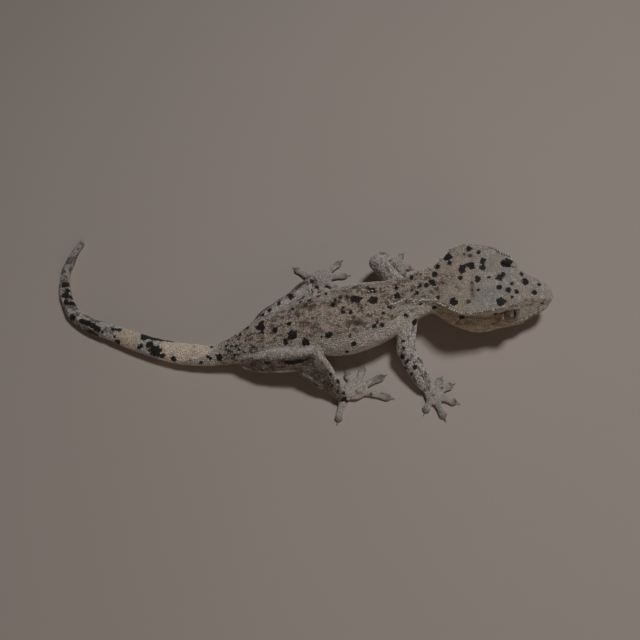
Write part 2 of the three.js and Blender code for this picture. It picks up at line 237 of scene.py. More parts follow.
@dataclass
class Tube:
    """A closed surface of rings, and what each ring and side stands for.

    Attributes:
        part: what it is a piece of.
        leg: number of its leg, or 0.
        rings: points, shaped (rings, sides, 3).
        along: each ring's place along the part.
        angle: each side's angle.
        lie: the way the scales lie at each ring, shaped (rings, 3).
    """

    part: Part
    leg: int
    rings: Vec
    along: Vec
    angle: Vec
    lie: Vec

    def points(self) -> Vec:
        """Every point: the rings' and the two poles'."""
        poles = self.rings[[0, -1]].mean(axis=1)
        return np.concatenate([self.rings.reshape(-1, 3), poles])

    def faces(self) -> tuple[Vec, Vec]:
        """The quads between rings and the triangles around the poles.

        Returns:
            The two kinds of face, as point numbers.
        """
        count, sides = self.rings.shape[:2]
        ids = np.arange(count * sides).reshape(count, sides)
        near, far = ids[:-1], ids[1:]
        quads = np.stack([near, np.roll(near, -1, 1), np.roll(far, -1, 1), far], -1).reshape(-1, 4)
        caps = []
        for row, pole, turn in ((ids[0], count * sides, -1), (ids[-1], count * sides + 1, 1)):
            caps.append(np.stack([row, np.roll(row, turn), np.full(sides, pole)], -1))
        return quads, np.concatenate(caps)

    def spread(self, per_ring: Vec) -> Vec:
        """Values of the rings, repeated for every point."""
        sides = self.rings.shape[1]
        return np.concatenate([np.repeat(per_ring, sides, axis=0), per_ring[[0, -1]]])

    def angles(self) -> Vec:
        """The angle at every point."""
        return np.concatenate([np.tile(self.angle, len(self.rings)), [0.0, 0.0]])


@dataclass
class Places:
    """What each point of a surface stands for.

    Attributes:
        part: number of its Part.
        leg: number of its leg.
        along: place along the part.
        angle: angle around the part.
        lie: the way the scales lie.
    """

    part: Vec
    leg: Vec
    along: Vec
    angle: Vec
    lie: Vec

    def turned(self) -> Vec:
        """Degrees around a limb: 90 on top and 180 on its outer side."""
        degrees = np.degrees(self.angle)
        outward = np.where(self.leg % 2 == 0, degrees, 180.0 - degrees)
        return np.mod(outward + 90.0, 360.0) - 90.0

    def take(self, ids: Vec) -> "Places":
        """The places of some of the points."""
        return Places(*(getattr(self, name)[ids] for name in ("part", "leg", "along", "angle", "lie")))


STATIONS: Pairs = (
    # x, y, z, half width, half height, squareness
    (-68.8, 38.5, 0.8, 0.75, 0.82, 2),
    (-71.4, 33.6, 1, 1.05, 1.02, 2),
    (-72.9, 29.1, 1.12, 1.2, 1.15, 2),
    (-73.2, 24.5, 1.25, 1.35, 1.28, 2),
    (-72.5, 20.3, 1.38, 1.45, 1.4, 2),
    (-70.4, 15.4, 1.5, 1.6, 1.53, 2),
    (-66.2, 11.3, 1.68, 1.8, 1.71, 2),
    (-60.6, 7.7, 1.87, 2, 1.9, 2),
    (-54.8, 4, 2.05, 2.2, 2.08, 2),
    (-49.1, 0.8, 2.2, 2.35, 2.23, 2),
    (-43.5, -1.5, 2.4, 2.5, 2.42, 2),
    (-38.7, -2.8, 3, 2.4, 2.45, 2),
    (-34, -3.2, 4, 2.9, 3, 2.05),
    (-28.5, -2.9, 5.3, 4.1, 3.9, 2.1),
    (-22, -2.4, 6.2, 5.3, 4.6, 2.2),
    (-15, -2.2, 6.6, 7, 5.1, 2.2),
    (-8, -2.1, 6.8, 8, 5.3, 2.2),
    (-1, -1.5, 7.1, 7.1, 5, 2.2),
    (5, -0.5, 7.7, 5.3, 4.3, 2.2),
    (9.5, 0.3, 8.2, 4.9, 3.8, 2.2),
    (13.5, 0, 8.4, 5.2, 3.8, 2.2),
    (17.5, -0.8, 8.4, 5, 3.8, 2.2),
)


@dataclass
class BodyForm:
    """The tail, hips, trunk and neck, from the tail's tip (station 0) to under the skull."""

    stations: Pairs = STATIONS
    end: float = 20.9
    step: float = 0.07
    sides: int = 64
    tip_round: float = 0.25
    tip_taper: float = 0.3

    def line(self, station: Vec) -> Vec:
        """Points of the middle line."""
        return catmull(np.array(self.stations)[:, :3], station)

    def frames(self, station: Vec) -> tuple[Vec, Vec, Vec, Vec]:
        """The middle line's points and the ways ahead, left and up there.

        Args:
            station: places along the body.

        Returns:
            Four arrays of vectors.
        """
        small = 0.002
        ahead = unit(self.line(station + small) - self.line(station - small))
        left = unit(np.stack([-ahead[:, 1], ahead[:, 0], 0 * ahead[:, 0]], -1))
        return self.line(station), ahead, left, np.cross(ahead, left)

    def surface(self, station: Vec, angle: Vec, grow: float) -> Vec:
        """Points of the surface, shaped (stations, angles, 3).

        Args:
            station: the places along the body.
            angle: the angles, from the left side up over the back.
            grow: how far outside the flesh.

        Returns:
            The points.
        """
        centre, _, left, up = self.frames(station)
        girth = catmull(np.array(self.stations)[:, 3:], station)
        tip = dome(station, self.tip_round) * (1 - self.tip_taper * np.exp(-station / 0.5))
        square = girth[:, 2:3]
        wide = ((girth[:, 0] + grow) * tip)[:, None] * squared(np.cos(angle)[None], square)
        high = ((girth[:, 1] + grow) * tip)[:, None] * squared(np.sin(angle)[None], square)
        return centre[:, None] + left[:, None] * wide[..., None] + up[:, None] * high[..., None]

    def tube(self) -> Tube:
        """The whole body as one tube.

        Returns:
            The tube.
        """
        tip = self.tip_round * (np.arange(8) / 8) ** 2
        station = np.concatenate([tip, np.arange(self.tip_round, self.end, self.step)])
        angle = around(self.sides)
        rings = self.surface(station, angle, -COAT_DEPTH)
        _, ahead, _, _ = self.frames(station)
        return Tube(Part.BODY, 0, rings, station, angle, -ahead)


HEAD_LINES: dict[str, Pairs] = {
    "crown_height": ((-6, 11.6), (-2, 12.3), (3, 12.7), (8, 12.7), (11.5, 12), (15, 10.3), (19.8, 8)),
    "crest_width": (
        (-6, 5), (-1.5, 8.4), (0, 9), (6, 8.1), (11.2, 6.9), (13.2, 3.9), (15.2, 2.8), (19.8, 1.5),
    ),
    "crest_height": ((-6, 11.2), (-1, 12.9), (6, 13.3), (10, 13.3), (11.6, 12.5), (13.4, 10.7), (19.8, 7.6)),
    "temple_width": ((-6, 4.9), (-3, 6.4), (0, 8), (4, 8), (9.5, 6.4), (13, 4.9), (15, 3.8), (19.8, 1.9)),
    "temple_height": ((-6, 9.5), (0, 10.6), (9.5, 10.4), (15, 8.1), (19.8, 6.7)),
    "cheek_width": ((-6, 5.1), (-3, 7), (0, 8.6), (3, 9), (7, 8.4), (12.5, 6.2), (15.5, 4.5), (19.8, 2.2)),
    "cheek_height": ((-6, 7.6), (8, 7.1), (15, 6.1), (19.8, 5.9)),
    "jaw_width": ((-6, 4.2), (-3, 5.9), (0, 7.4), (3, 7.9), (10, 6.2), (16, 3.5), (19.8, 1.7)),
    "jaw_height": ((-6, 5.3), (0, 5), (8, 4.6), (15, 4.4), (19.8, 5.1)),
    "throat_height": ((-6, 4.3), (0, 4), (8, 3.8), (15, 3.9), (19.8, 5)),
}


@dataclass
class HeadForm:
    """The head: a wide, flat-topped wedge with a crest edge from brow to nape.

    Places in it are along (forward of the skull's widest line), side (to the left) and height.
    """

    yaw: float = -12.5
    origin: Triple = (17.6, -0.7, 0.0)
    back: float = -6.0
    tip: float = 20.1
    tip_round: float = 1.7
    crown_edge: float = 0.6
    brow_bulge: Triple = (8.0, 3.0, 0.35)
    lines: dict[str, Callable[[Vec], Vec]] = field(
        default_factory=lambda: {name: guide(pairs) for name, pairs in HEAD_LINES.items()}
    )

    def axes(self) -> Vec:
        """Rows are the head's ways forward, left and up."""
        ahead, left = math.cos(math.radians(self.yaw)), math.sin(math.radians(self.yaw))
        return np.array([[ahead, left, 0], [-left, ahead, 0], [0, 0, 1]])

    def place(self, along: Vec, side: Vec, height: Vec) -> Vec:
        """The plan's points for places in the head."""
        local = np.stack(np.broadcast_arrays(along, side, height), -1)
        return np.array(self.origin) + local @ self.axes()

    def local(self, points: Vec) -> Vec:
        """Places in the head for the plan's points, as along, side and height."""
        return (points - np.array(self.origin)) @ self.axes().T

    def sections(self, along: Vec) -> Vec:
        """The twelve points of the section at each place along, shaped (places, 12, 2).

        Args:
            along: places along the head.

        Returns:
            Sides and heights.
        """
        middle, reach, rise = self.brow_bulge
        line = {name: curve(along) for name, curve in self.lines.items()}
        bulge = rise * bump(along, middle, reach)
        edge_height = (line["crown_height"] + line["crest_height"]) / 2 + bulge
        half = [
            (0 * along, line["crown_height"]),
            (self.crown_edge * line["crest_width"], edge_height),
            (line["crest_width"], line["crest_height"]),
            (line["temple_width"], line["temple_height"]),
            (line["cheek_width"], line["cheek_height"]),
            (line["jaw_width"], line["jaw_height"]),
            (0 * along, line["throat_height"]),
        ]
        ring = half + [(-side, height) for side, height in reversed(half[1:6])]
        return np.array(ring).transpose(2, 0, 1)

    def tube(self) -> Tube:
        """The whole head as one tube.

        Returns:
            The tube.
        """
        share = np.linspace(0, 1, 110)
        along = self.back + (self.tip - self.back) * (1 - (1 - share) ** 1.35)
        angle = around(96)
        turn = np.mod(0.25 - angle / (2 * math.pi), 1.0)
        section = catmull(self.sections(along), turn * 12, closed=True)
        middle = (self.lines["crown_height"](along) + self.lines["throat_height"](along)) / 2
        spoke = section - np.stack([0 * middle, middle], -1)[:, None]
        reach = np.maximum(np.linalg.norm(spoke, axis=-1), 0.1)
        scale = dome(self.tip - along, self.tip_round)[:, None] * (1 - COAT_DEPTH / reach)
        spoke = spoke * scale[..., None]
        rings = self.place(along[:, None], spoke[..., 0], middle[:, None] + spoke[..., 1])
        lie = np.repeat(-self.axes()[:1], len(along), axis=0)
        return Tube(Part.HEAD, 0, rings, along, angle, lie)


@dataclass(frozen=True)
class Flesh:
    """Radii of the limbs' flesh along each segment, and the sizes of palms and toes."""

    upper_arm: Pairs = ((0, 2.0), (0.5, 2.1), (1, 2.05))
    forearm: Pairs = ((0, 1.8), (0.35, 2.15), (0.8, 1.7), (1, 1.45))
    thigh: Pairs = ((0, 2.1), (0.5, 3.0), (1, 2.5))
    shin: Pairs = ((0, 2.2), (0.35, 2.5), (0.8, 1.65), (1, 1.4))
    calf: Pairs = ((0, 2.2), (1, 1.9))
    heel: Pairs = ((0, 0.9), (1, 1.1))
    calf_from: tuple[float, float] = (0.18, 0.3)
    calf_to: tuple[float, float] = (0.09, 0.59)
    palm_front: Triple = (2.1, 2.0, 1.0)
    palm_hind: Triple = (2.8, 2.5, 1.0)
    palm_height: float = 0.85
    toe_width: Pairs = ((0, 1.25), (0.35, 0.9), (0.6, 0.8), (0.82, 1.0), (1, 0.62))
    toe_height: Pairs = ((0, 0.7), (0.4, 0.48), (0.85, 0.42), (1, 0.36))
    toe_end: float = 0.42
    toe_round: float = 0.8
    toe_arch: float = 0.75
    claw_length: float = 0.75
    gap: float = 0.3


@dataclass
class LegForm:
    """One leg: its joints' centres and its toes' tips on the floor, first toe innermost."""

    name: str
    number: int
    root: Sequence[float]
    bend: Sequence[float]
    ankle: Sequence[float]
    palm: Sequence[float]
    toes: Pairs
    heel: Sequence[float] | None = None
    flesh: Flesh = Flesh()

    def segment(self, part: Part, start: Sequence[float], end: Sequence[float], radii: Pairs) -> Tube:
        """A limb's segment between two joints, with rounded ends.

        Args:
            part: what it is a piece of.
            start: the first joint.
            end: the second joint.
            radii: its radius along the way.

        Returns:
            The tube.
        """
        base, tip = np.array(start, float), np.array(end, float)
        length = np.linalg.norm(tip - base)
        axis = (tip - base) / length
        side = unit(np.array([-axis[1], axis[0], 0.0]))
        up = np.cross(axis, side)
        radius = guide(radii)
        ends = radius(np.array([0.0, 1.0])) - COAT_DEPTH
        eased = (1 - np.cos(np.pi * np.linspace(0, 1, 48))) / 2
        along = -ends[0] + (length + ends.sum()) * eased
        caps = np.minimum(dome(along + ends[0], ends[0]), dome(length + ends[1] - along, ends[1]))
        wide = (radius(eased) - COAT_DEPTH) * caps
        angle = around(36)
        spokes = np.cos(angle)[:, None] * side + np.sin(angle)[:, None] * up
        rings = (base + along[:, None] * axis)[:, None] + wide[:, None, None] * spokes
        return Tube(part, self.number, rings, eased, angle, np.repeat(axis[None], len(eased), 0))

    def beside_bend(self, shares: tuple[float, float]) -> Vec:
        """A place by the knee, as shares of the ways to the root and to the ankle."""
        bend = np.array(self.bend)
        return bend + shares[0] * (np.array(self.root) - bend) + shares[1] * (np.array(self.ankle) - bend)

    def palm_tube(self) -> Tube:
        """The palm: a flat round body turned toward the toes.

        Returns:
            The tube.
        """
        half = self.flesh.palm_hind if self.heel else self.flesh.palm_front
        turn = math.atan2(self.palm[1] - self.ankle[1], self.palm[0] - self.ankle[0])
        ahead = np.array([math.cos(turn), math.sin(turn), 0.0])
        left = np.array([-ahead[1], ahead[0], 0.0])
        share = np.linspace(0.02, 0.98, 30)
        angle = around(36)
        along = -np.cos(np.pi * share) * (half[0] - COAT_DEPTH)
        ring = np.sin(np.pi * share)[:, None, None]
        spokes = np.cos(angle)[:, None] * left * (half[1] - COAT_DEPTH)
        spokes = spokes + np.sin(angle)[:, None] * np.array([0, 0, half[2] - COAT_DEPTH])
        centre = np.array([self.palm[0], self.palm[1], self.flesh.palm_height])
        rings = (centre + along[:, None] * ahead)[:, None] + ring * spokes
        return Tube(Part.FOOT, self.number, rings, share, angle, np.repeat(ahead[None], len(share), 0))

    def toe_root(self, index: int) -> Sequence[float]:
        """Where a toe grows from: the palm, or the heel for a hind foot's fifth toe."""
        return self.heel if index == 4 and self.heel else self.palm

    def toe_tube(self, index: int) -> Tube:
        """One toe: slim, then a flat pad, with its sole on the floor.

        Args:
            index: the toe's number, from 0.

        Returns:
            The tube.
        """
        flesh = self.flesh
        root, tip = np.array(self.toe_root(index), float), np.array(self.toes[index], float)
        ahead = unit(tip - root)
        end = tip - ahead * (flesh.claw_length + flesh.gap)
        start3 = np.array([root[0], root[1], flesh.palm_height])
        end3 = np.array([end[0], end[1], flesh.toe_end])
        top = (start3 + end3) / 2
        top[2] = flesh.toe_arch
        share = (1 - (1 - np.linspace(0, 1, 40)) ** 1.6)[:, None]
        middle = (1 - share) ** 2 * start3 + 2 * share * (1 - share) * top + share**2 * end3
        length = np.linalg.norm(end3 - start3)
        caps = dome((1 - share[:, 0]) * length, flesh.toe_round)
        wide = (guide(flesh.toe_width)(share[:, 0]) - COAT_DEPTH / 2) * caps
        high = (guide(flesh.toe_height)(share[:, 0]) - COAT_DEPTH / 2) * caps
        angle = around(24)
        left = np.array([-ahead[1], ahead[0], 0.0])
        rings = middle[:, None] + (wide[:, None] * np.cos(angle))[..., None] * left
        rings[..., 2] += high[:, None] * np.sin(angle)
        lie = np.repeat(np.array([[ahead[0], ahead[1], 0.0]]), len(share), 0)
        return Tube(Part.TOE, self.number, rings, share[:, 0], angle, lie)

    def tubes(self) -> list[Tube]:
        """Every tube of the leg.

        Returns:
            The tubes.
        """
        flesh = self.flesh
        hind = self.heel is not None
        upper, lower = (flesh.thigh, flesh.shin) if hind else (flesh.upper_arm, flesh.forearm)
        found = [
            self.segment(Part.UPPER, self.root, self.bend, upper),
            self.segment(Part.LOWER, self.bend, self.ankle, lower),
            self.palm_tube(),
        ]
        if hind:
            calf = [self.beside_bend(flesh.calf_from), self.beside_bend(flesh.calf_to)]
            found.append(self.segment(Part.LOWER, *calf, flesh.calf))
            sole = [(*self.heel, flesh.palm_height), (*self.palm, flesh.palm_height)]
            found.append(self.segment(Part.FOOT, *sole, flesh.heel))
        return found + [self.toe_tube(i) for i in range(len(self.toes))]


LEGS: tuple[LegForm, ...] = (
    LegForm(
        "front_right", 0, (5.4, -3.2, 7.2), (2.9, -11, 4.8), (5.6, -18.7, 1.75), (6.8, -20.5),
        ((10.4, -16.1), (12.8, -18.6), (12.4, -23.9), (8.1, -27.4), (3.5, -25)),
    ),
    LegForm(
        "front_left", 1, (5.2, 3, 7.6), (1.6, 11.4, 6.7), (5.2, 14, 1.8), (6.8, 14.6),
        ((8.8, 9.6), (11.3, 11.7), (10, 17.8), (3.7, 19.4), (1.6, 16.6)),
    ),
    LegForm(
        "hind_right", 2, (-31, -6.7, 4.1), (-17.5, -9.6, 6.9), (-12.6, -17.3, 1.9), (-9.2, -16.2),
        ((-10.7, -10.6), (-5.7, -10), (-1.1, -13.7), (-0.8, -20), (-14.7, -23.7)),
        heel=(-12.1, -17.8),
    ),
    LegForm(
        "hind_left", 3, (-29, 0.6, 4.6), (-17.6, 6.6, 5.2), (-14.1, 12.9, 1.9), (-11.4, 14),
        ((-12.4, 8.6), (-7.4, 9.2), (-3.8, 13.5), (-4.9, 18.7), (-18.1, 19.3)),
        heel=(-13.6, 14),
    ),
)


@dataclass
class EyePlace:
    """Where an eye sits in the head, how large it is and where it looks."""

    side: int
    along: float = 9.6
    out: float = 5.85
    height: float = 9.2
    radius: float = 2.3
    gaze_ahead: float = 24.0
    gaze_up: float = 28.0

    def centre(self, head: HeadForm) -> Vec:
        """The eye's centre in the plan."""
        return head.place(self.along, self.side * self.out, self.height)

    def axes(self, head: HeadForm) -> Vec:
        """Rows are the eye's ways forward, along its gaze and up.

        Args:
            head: the head's form.

        Returns:
            The three ways, shaped (3, 3).
        """
        ahead, left, up = head.axes()
        turn, lift = math.radians(self.gaze_ahead), math.radians(self.gaze_up)
        out = left * self.side
        gaze = math.cos(lift) * (math.cos(turn) * out + math.sin(turn) * ahead) + math.sin(lift) * up
        forward = unit(ahead - gaze * (ahead @ gaze))
        over = np.cross(gaze, forward) * self.side
        return np.stack([forward, gaze, over if over[2] > 0 else -over])


@dataclass(frozen=True)
class Plan:
    """The plan's place in the frame."""

    shift: Triple

    @staticmethod
    def read(head: HeadForm) -> "Plan":
        """Finds the shift from the right eye's solid, which the plan places by name."""
        low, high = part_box("eye_right")
        seen = np.array((low + high) / 2) / MM
        return Plan(tuple(seen - EyePlace(-1).centre(head)))

    def to_frame(self, points: Vec) -> Vec:
        """The plan's points in metres in the frame."""
        return (points + np.array(self.shift)) * MM


@dataclass(frozen=True)
class PhotoCamera:
    """The photograph's camera, worked out from its perspective.

    Attributes:
        position: in the plan, in millimetres.
        azimuth: degrees from +Y toward +X that it looks.
        down: degrees below level.
        roll: degrees about its line of sight.
        focal: focal length in pixels of a frame of size pixels.
        size: width and height of the frame in pixels.
    """

    position: Triple = (-19.01, -72.76, 127.48)
    azimuth: float = 4.02
    down: float = 59.21
    roll: float = -6.61
    focal: float = 640.0
    size: float = 640.0
    sensor: float = 36.0

    def axes(self) -> Vec:
        """Rows are the ways right, up and forward of the picture.

        Returns:
            The three ways, shaped (3, 3).
        """
        az, down, roll = (math.radians(v) for v in (self.azimuth, self.down, self.roll))
        level = math.cos(down)
        forward = np.array([math.sin(az) * level, math.cos(az) * level, -math.sin(down)])
        right = np.array([math.cos(az), -math.sin(az), 0.0])
        up = np.cross(right, forward)
        return np.stack([
            math.cos(roll) * right + math.sin(roll) * up,
            math.cos(roll) * up - math.sin(roll) * right,
            forward,
        ])

    def ray(self, px: float, py: float) -> Vec:
        """The way of a pixel's ray, of length 1."""
        right, up, forward = self.axes()
        half = self.size / 2
        return unit(forward * self.focal + right * (px - half) + up * (half - py))

    def build(self, plan: Plan) -> Object:
        """Makes the camera and puts it in the scene.

        Args:
            plan: the plan's place in the frame.

        Returns:
            The camera.
        """
        data = bpy.data.cameras.new("photo_camera")
        data.sensor_width = self.sensor
        data.lens = self.sensor * self.focal / self.size
        data.clip_start = 0.005
        camera = bpy.data.objects.new("photo_camera", data)
        right, up, forward = self.axes()
        matrix = np.eye(4)
        matrix[:3, :3] = np.stack([right, up, -forward], 1)
        matrix[:3, 3] = plan.to_frame(np.array(self.position))
        camera.matrix_world = Matrix(matrix.tolist())
        bpy.context.scene.collection.objects.link(camera)
        bpy.context.scene.camera = camera
        return camera


class Graph:
    """Builds one material's nodes, each from values or other nodes' outputs."""

    def __init__(self, name: str) -> None:
        """Makes the material with its shader and output.

        Args:
            name: its name.
        """
        self.material = bpy.data.materials.new(name)
        self.material.use_nodes = True
        self.tree = self.material.node_tree
        self.tree.nodes.clear()
        self.shader = self.tree.nodes.new("ShaderNodeBsdfPrincipled")
        output = self.tree.nodes.new("ShaderNodeOutputMaterial")
        self.tree.links.new(self.shader.outputs[0], output.inputs[0])

    def put(self, socket: Socket, value: object) -> None:
        """Links an output to a socket, or sets the socket's own value.

        Args:
            socket: the socket.
            value: an output, a number or a colour.
        """
        if isinstance(value, Socket):
            self.tree.links.new(value, socket)
        elif isinstance(value, tuple) and socket.type == "RGBA":
            socket.default_value = (*value, 1.0)
        else:
            socket.default_value = value

    def node(self, kind: str, sockets: dict[str | int, object], **options: str) -> bpy.types.Node:
        """Adds a node of a kind, with values or outputs for its sockets and its own options.

        Args:
            kind: its type.
            sockets: what goes into its sockets, by name or number.
            options: its settings.

        Returns:
            The node.
        """
        node = self.tree.nodes.new("ShaderNode" + kind)
        for name, value in options.items():
            setattr(node, name, value)
        for key, value in sockets.items():
            self.put(node.inputs[key], value)
        return node

    def shade(self, **values: object) -> None:
        """Sets the shader's inputs by name, with underscores for spaces."""
        for name, value in values.items():
            self.put(self.shader.inputs[name.replace("_", " ").title().replace("Ior", "IOR")], value)

    def attribute(self, name: str) -> Socket:
        """A number that the mesh carries."""
        return self.node("Attribute", {}, attribute_name=name).outputs["Fac"]

    def position(self) -> Socket:
        """The point's place in the object, in metres."""
        return self.node("TexCoord", {}).outputs["Object"]

    def grain(self, size: float, detail: float = 2.0, roughness: float = 0.5) -> Socket:
        """Soft noise from 0 to 1 whose features are about size millimetres across."""
        place = {"Vector": self.position(), "Scale": 1 / (size * MM)}
        return self.node("TexNoise", {**place, "Detail": detail, "Roughness": roughness}).outputs["Fac"]

    def cells(self, size: float) -> Socket:
        """Distance to the nearest cell's middle, for cells about size millimetres across."""
        sockets = {"Scale": 1 / (size * MM), "Vector": self.position()}
        return self.node("TexVoronoi", sockets).outputs["Distance"]

    def math(self, operation: str, a: object, b: object) -> Socket:
        """One sum on two numbers."""
        return self.node("Math", {0: a, 1: b}, operation=operation).outputs[0]

    def plus(self, a: object, b: object) -> Socket:
        """Two numbers added."""
        return self.math("ADD", a, b)

    def times(self, a: object, b: object) -> Socket:
        """Two numbers multiplied."""
        return self.math("MULTIPLY", a, b)

    def about_half(self, value: object, gain: float) -> Socket:
        """How far a number is above a half, times a gain."""
        return self.times(self.math("SUBTRACT", value, 0.5), gain)

    def rise(self, value: object, low: float, high: float, top: float = 1.0) -> Socket:
        """Maps a number to 0 below low and top above high, smoothly."""
        sockets = {"From Min": low, "From Max": high, "To Max": top, "Value": value}
        return self.node("MapRange", sockets, interpolation_type="SMOOTHSTEP").outputs["Result"]

    def blend(self, share: object, under: object, over: object, mode: str = "MIX") -> Socket:
        """Lays one colour over another."""
        return self.node("Mix", {0: share, 6: under, 7: over}, data_type="RGBA", blend_type=mode).outputs[2]

    def grey_of(self, value: object) -> Socket:
        """The same number in all three colours."""
        return self.node("CombineColor", {0: value, 1: value, 2: value}).outputs[0]

    def lengthwise(self, size: float, stretch: float) -> Socket:
        """Soft noise from 0 to 1 whose features run along the body or limb.

        Args:
            size: width of a feature in millimetres.
            stretch: how many times longer than wide it is.

        Returns:
            The noise.
        """
        widths = {"run": size * stretch, "off_left": size, "off_up": size}
        place = [self.math("DIVIDE", self.attribute(name), width) for name, width in widths.items()]
        vector = self.node("CombineXYZ", dict(enumerate(place))).outputs[0]
        sockets = {"Vector": vector, "Scale": 1.0, "Detail": 3.0, "Roughness": 0.6}
        return self.node("TexNoise", sockets).outputs["Fac"]

    def relief(self, height: Socket, strength: float, depth: float) -> None:
        """Bumps the surface by a height from 0 to 1, at a strength, to a depth in millimetres."""
        node = self.node("Bump", {"Strength": strength, "Distance": depth * MM, "Height": height})
        self.put(self.shader.inputs["Normal"], node.outputs["Normal"])


@dataclass(frozen=True)
class SkinFinish:
    """The markings of skin and scales, with painted light and shade among them, read from the numbers that
    both meshes carry.
    """

    ground: Colour = (0.57, 0.51, 0.44)
    cool: Colour = (0.43, 0.43, 0.425)
    # whitish scales, and painted light along the tops of the hind legs' blades
    white: Colour = (0.76, 0.715, 0.665)
    tan: Colour = (0.66, 0.51, 0.395)
    pink: Colour = (0.62, 0.50, 0.44)
    ochre: Colour = (0.20, 0.125, 0.065)
    # brown: dashes and blotches, and blotchy painted shade on the hind legs' flats
    brown: Colour = (0.085, 0.058, 0.042)
    # warm cream, partly painted warm bounce light on the sides and undersides
    warm: Colour = (0.66, 0.52, 0.375)
    cream: Colour = (1.0, 0.86, 0.725)
    dull_cream: Colour = (0.83, 0.69, 0.54)
    belly: Colour = (0.62, 0.52, 0.42)
    steel: Colour = (0.46, 0.465, 0.46)
    # darker toe tips: painted shadow at the lifted pads
    pad: Colour = (0.27, 0.225, 0.215)
    ink: Colour = (0.014, 0.014, 0.015)
    # umber: brown marks, and painted shade on the hind legs' flats, under crest and brow, around the eyes and
    # at the toes' tips
    umber: Colour = (0.10, 0.062, 0.034)
    dusk: Colour = (0.17, 0.135, 0.115)
    tooth: Colour = (0.93, 0.90, 0.86)

    tint_gain: float = 0.60
    tint_base: float = 0.78

    def layers(self, g: Graph, wide: Socket, patchy: Socket, fine: Socket) -> list[tuple[Socket, object]]:
        """The colours that lie over the ground, from the first to the last.

        Args:
            g: the material's nodes.
            wide: noise some millimetres across.
            patchy: noise one or two millimetres across.
            fine: noise half a millimetre across.

        Returns:
            For each layer its share and its colour.
        """
        back, dashes = g.attribute("back"), g.lengthwise(0.55, 2.4)
        mottle = g.plus(g.times(dashes, 0.9), g.times(patchy, 0.5))
        ragged = g.about_half(fine, 0.55)
        return [
            (g.times(back, g.rise(g.plus(wide, patchy), 0.70, 1.12, 0.95)),
             g.blend(g.rise(wide, 0.40, 0.60), self.tan, self.pink)),
            (g.attribute("steel"), self.steel),
            (g.attribute("belly"), self.belly),
            # warm cream, partly painted warm bounce light on the sides and undersides
            (g.attribute("cheek"), self.warm),
            # whitish parts, with painted light along the tops of the hind legs' blades
            (g.attribute("bright"), self.white),
            (g.times(back, g.rise(g.grain(3.2, 3.0, 0.6), 0.55, 0.65, 0.55)), self.dusk),
            (g.times(back, g.rise(g.plus(fine, g.times(patchy, 0.4)), 0.73, 0.81, 0.66)), self.ochre),
            (g.times(g.attribute("stipple"), g.rise(mottle, 0.725, 0.785, 0.95)), self.brown),
            # brown blotches, and blotchy painted shade on the hind legs' flats
            (g.times(g.attribute("blotch_and_shade"), g.rise(patchy, 0.47, 0.56, 0.92)), self.brown),
            # painted shadow at the toes' lifted tips
            (g.attribute("pad"), self.pad),
            (g.rise(g.plus(g.attribute("dull_cream"), g.about_half(patchy, 2.2)), 0.42, 0.62),
             self.dull_cream),
            (g.rise(g.plus(g.attribute("cream"), g.about_half(fine, 0.5)), 0.44, 0.56),
             g.blend(g.rise(patchy, 0.45, 0.62, 0.35), self.cream, self.dull_cream)),
            # brown marks and painted shade
            (g.attribute("brown_and_shade_wash"), self.umber),
            (g.rise(g.plus(g.attribute("umber"), ragged), -0.12, 0.12, 0.85), self.umber),
            (g.rise(g.plus(g.attribute("ink"), ragged), -0.07, 0.07, 0.97), self.ink),
            (g.attribute("tooth"), self.tooth),
        ]

    def build(self, name: str, valley: float) -> Material:
        """Makes the material.

        Args:
            name: the material's name.
            valley: how much the surface is darkened, as between the scales.

        Returns:
            The material.
        """
        g = Graph(name)
        wide, patchy, fine = g.grain(5.0, 3.0), g.grain(1.7, 3.0), g.grain(0.5, 3.0, 0.65)
        colour = g.blend(g.rise(wide, 0.38, 0.62, 0.6), self.ground, self.cool)
        colour = g.blend(g.rise(patchy, 0.50, 0.66, 0.75), colour, self.white)
        for share, over in self.layers(g, wide, patchy, fine):
            colour = g.blend(share, colour, over)
        light = g.plus(g.times(g.attribute("tint"), self.tint_gain), self.tint_base - valley)
        shown = g.blend(1.0, colour, g.grey_of(light), "MULTIPLY")
        g.shade(base_color=shown, roughness=0.6, sheen_weight=0.04, specular_ior_level=0.3)
        g.relief(g.cells(0.14), 0.35, 0.05)
        return g.material


@dataclass(frozen=True)
class EyeFinish:
    """A wet eye: a beige iris with dark veins, a dark rim and an upright slit pupil."""

    iris: Colour = (0.30, 0.245, 0.205)
    vein: Colour = (0.12, 0.085, 0.065)
    pale: Colour = (0.42, 0.36, 0.31)
    rim: Colour = (0.03, 0.022, 0.018)
    pupil: Colour = (0.004, 0.004, 0.004)

    def build(self) -> Material:
        """Makes the material from the numbers on the eyeball's mesh.

        Returns:
            The material.
        """
        g = Graph("wet_eye")
        turn, spread = g.attribute("iris_turn"), g.attribute("iris_spread")
        fibre = g.rise(g.plus(turn, g.times(g.grain(0.5, 4.0, 0.7), 1.1)), 0.35, 1.2)
        colour = g.blend(fibre, self.iris, self.vein)
        colour = g.blend(g.rise(g.grain(0.28, 3.0), 0.55, 0.72, 0.7), colour, self.pale)
        colour = g.blend(g.rise(spread, 0.80, 0.93), colour, self.rim)
        colour = g.blend(g.rise(g.attribute("slit"), -0.03, 0.03), colour, self.pupil)
        g.shade(base_color=colour, roughness=0.16, coat_weight=0.7, coat_roughness=0.04)
        g.relief(g.grain(0.3), 0.1, 0.03)
        return g.material


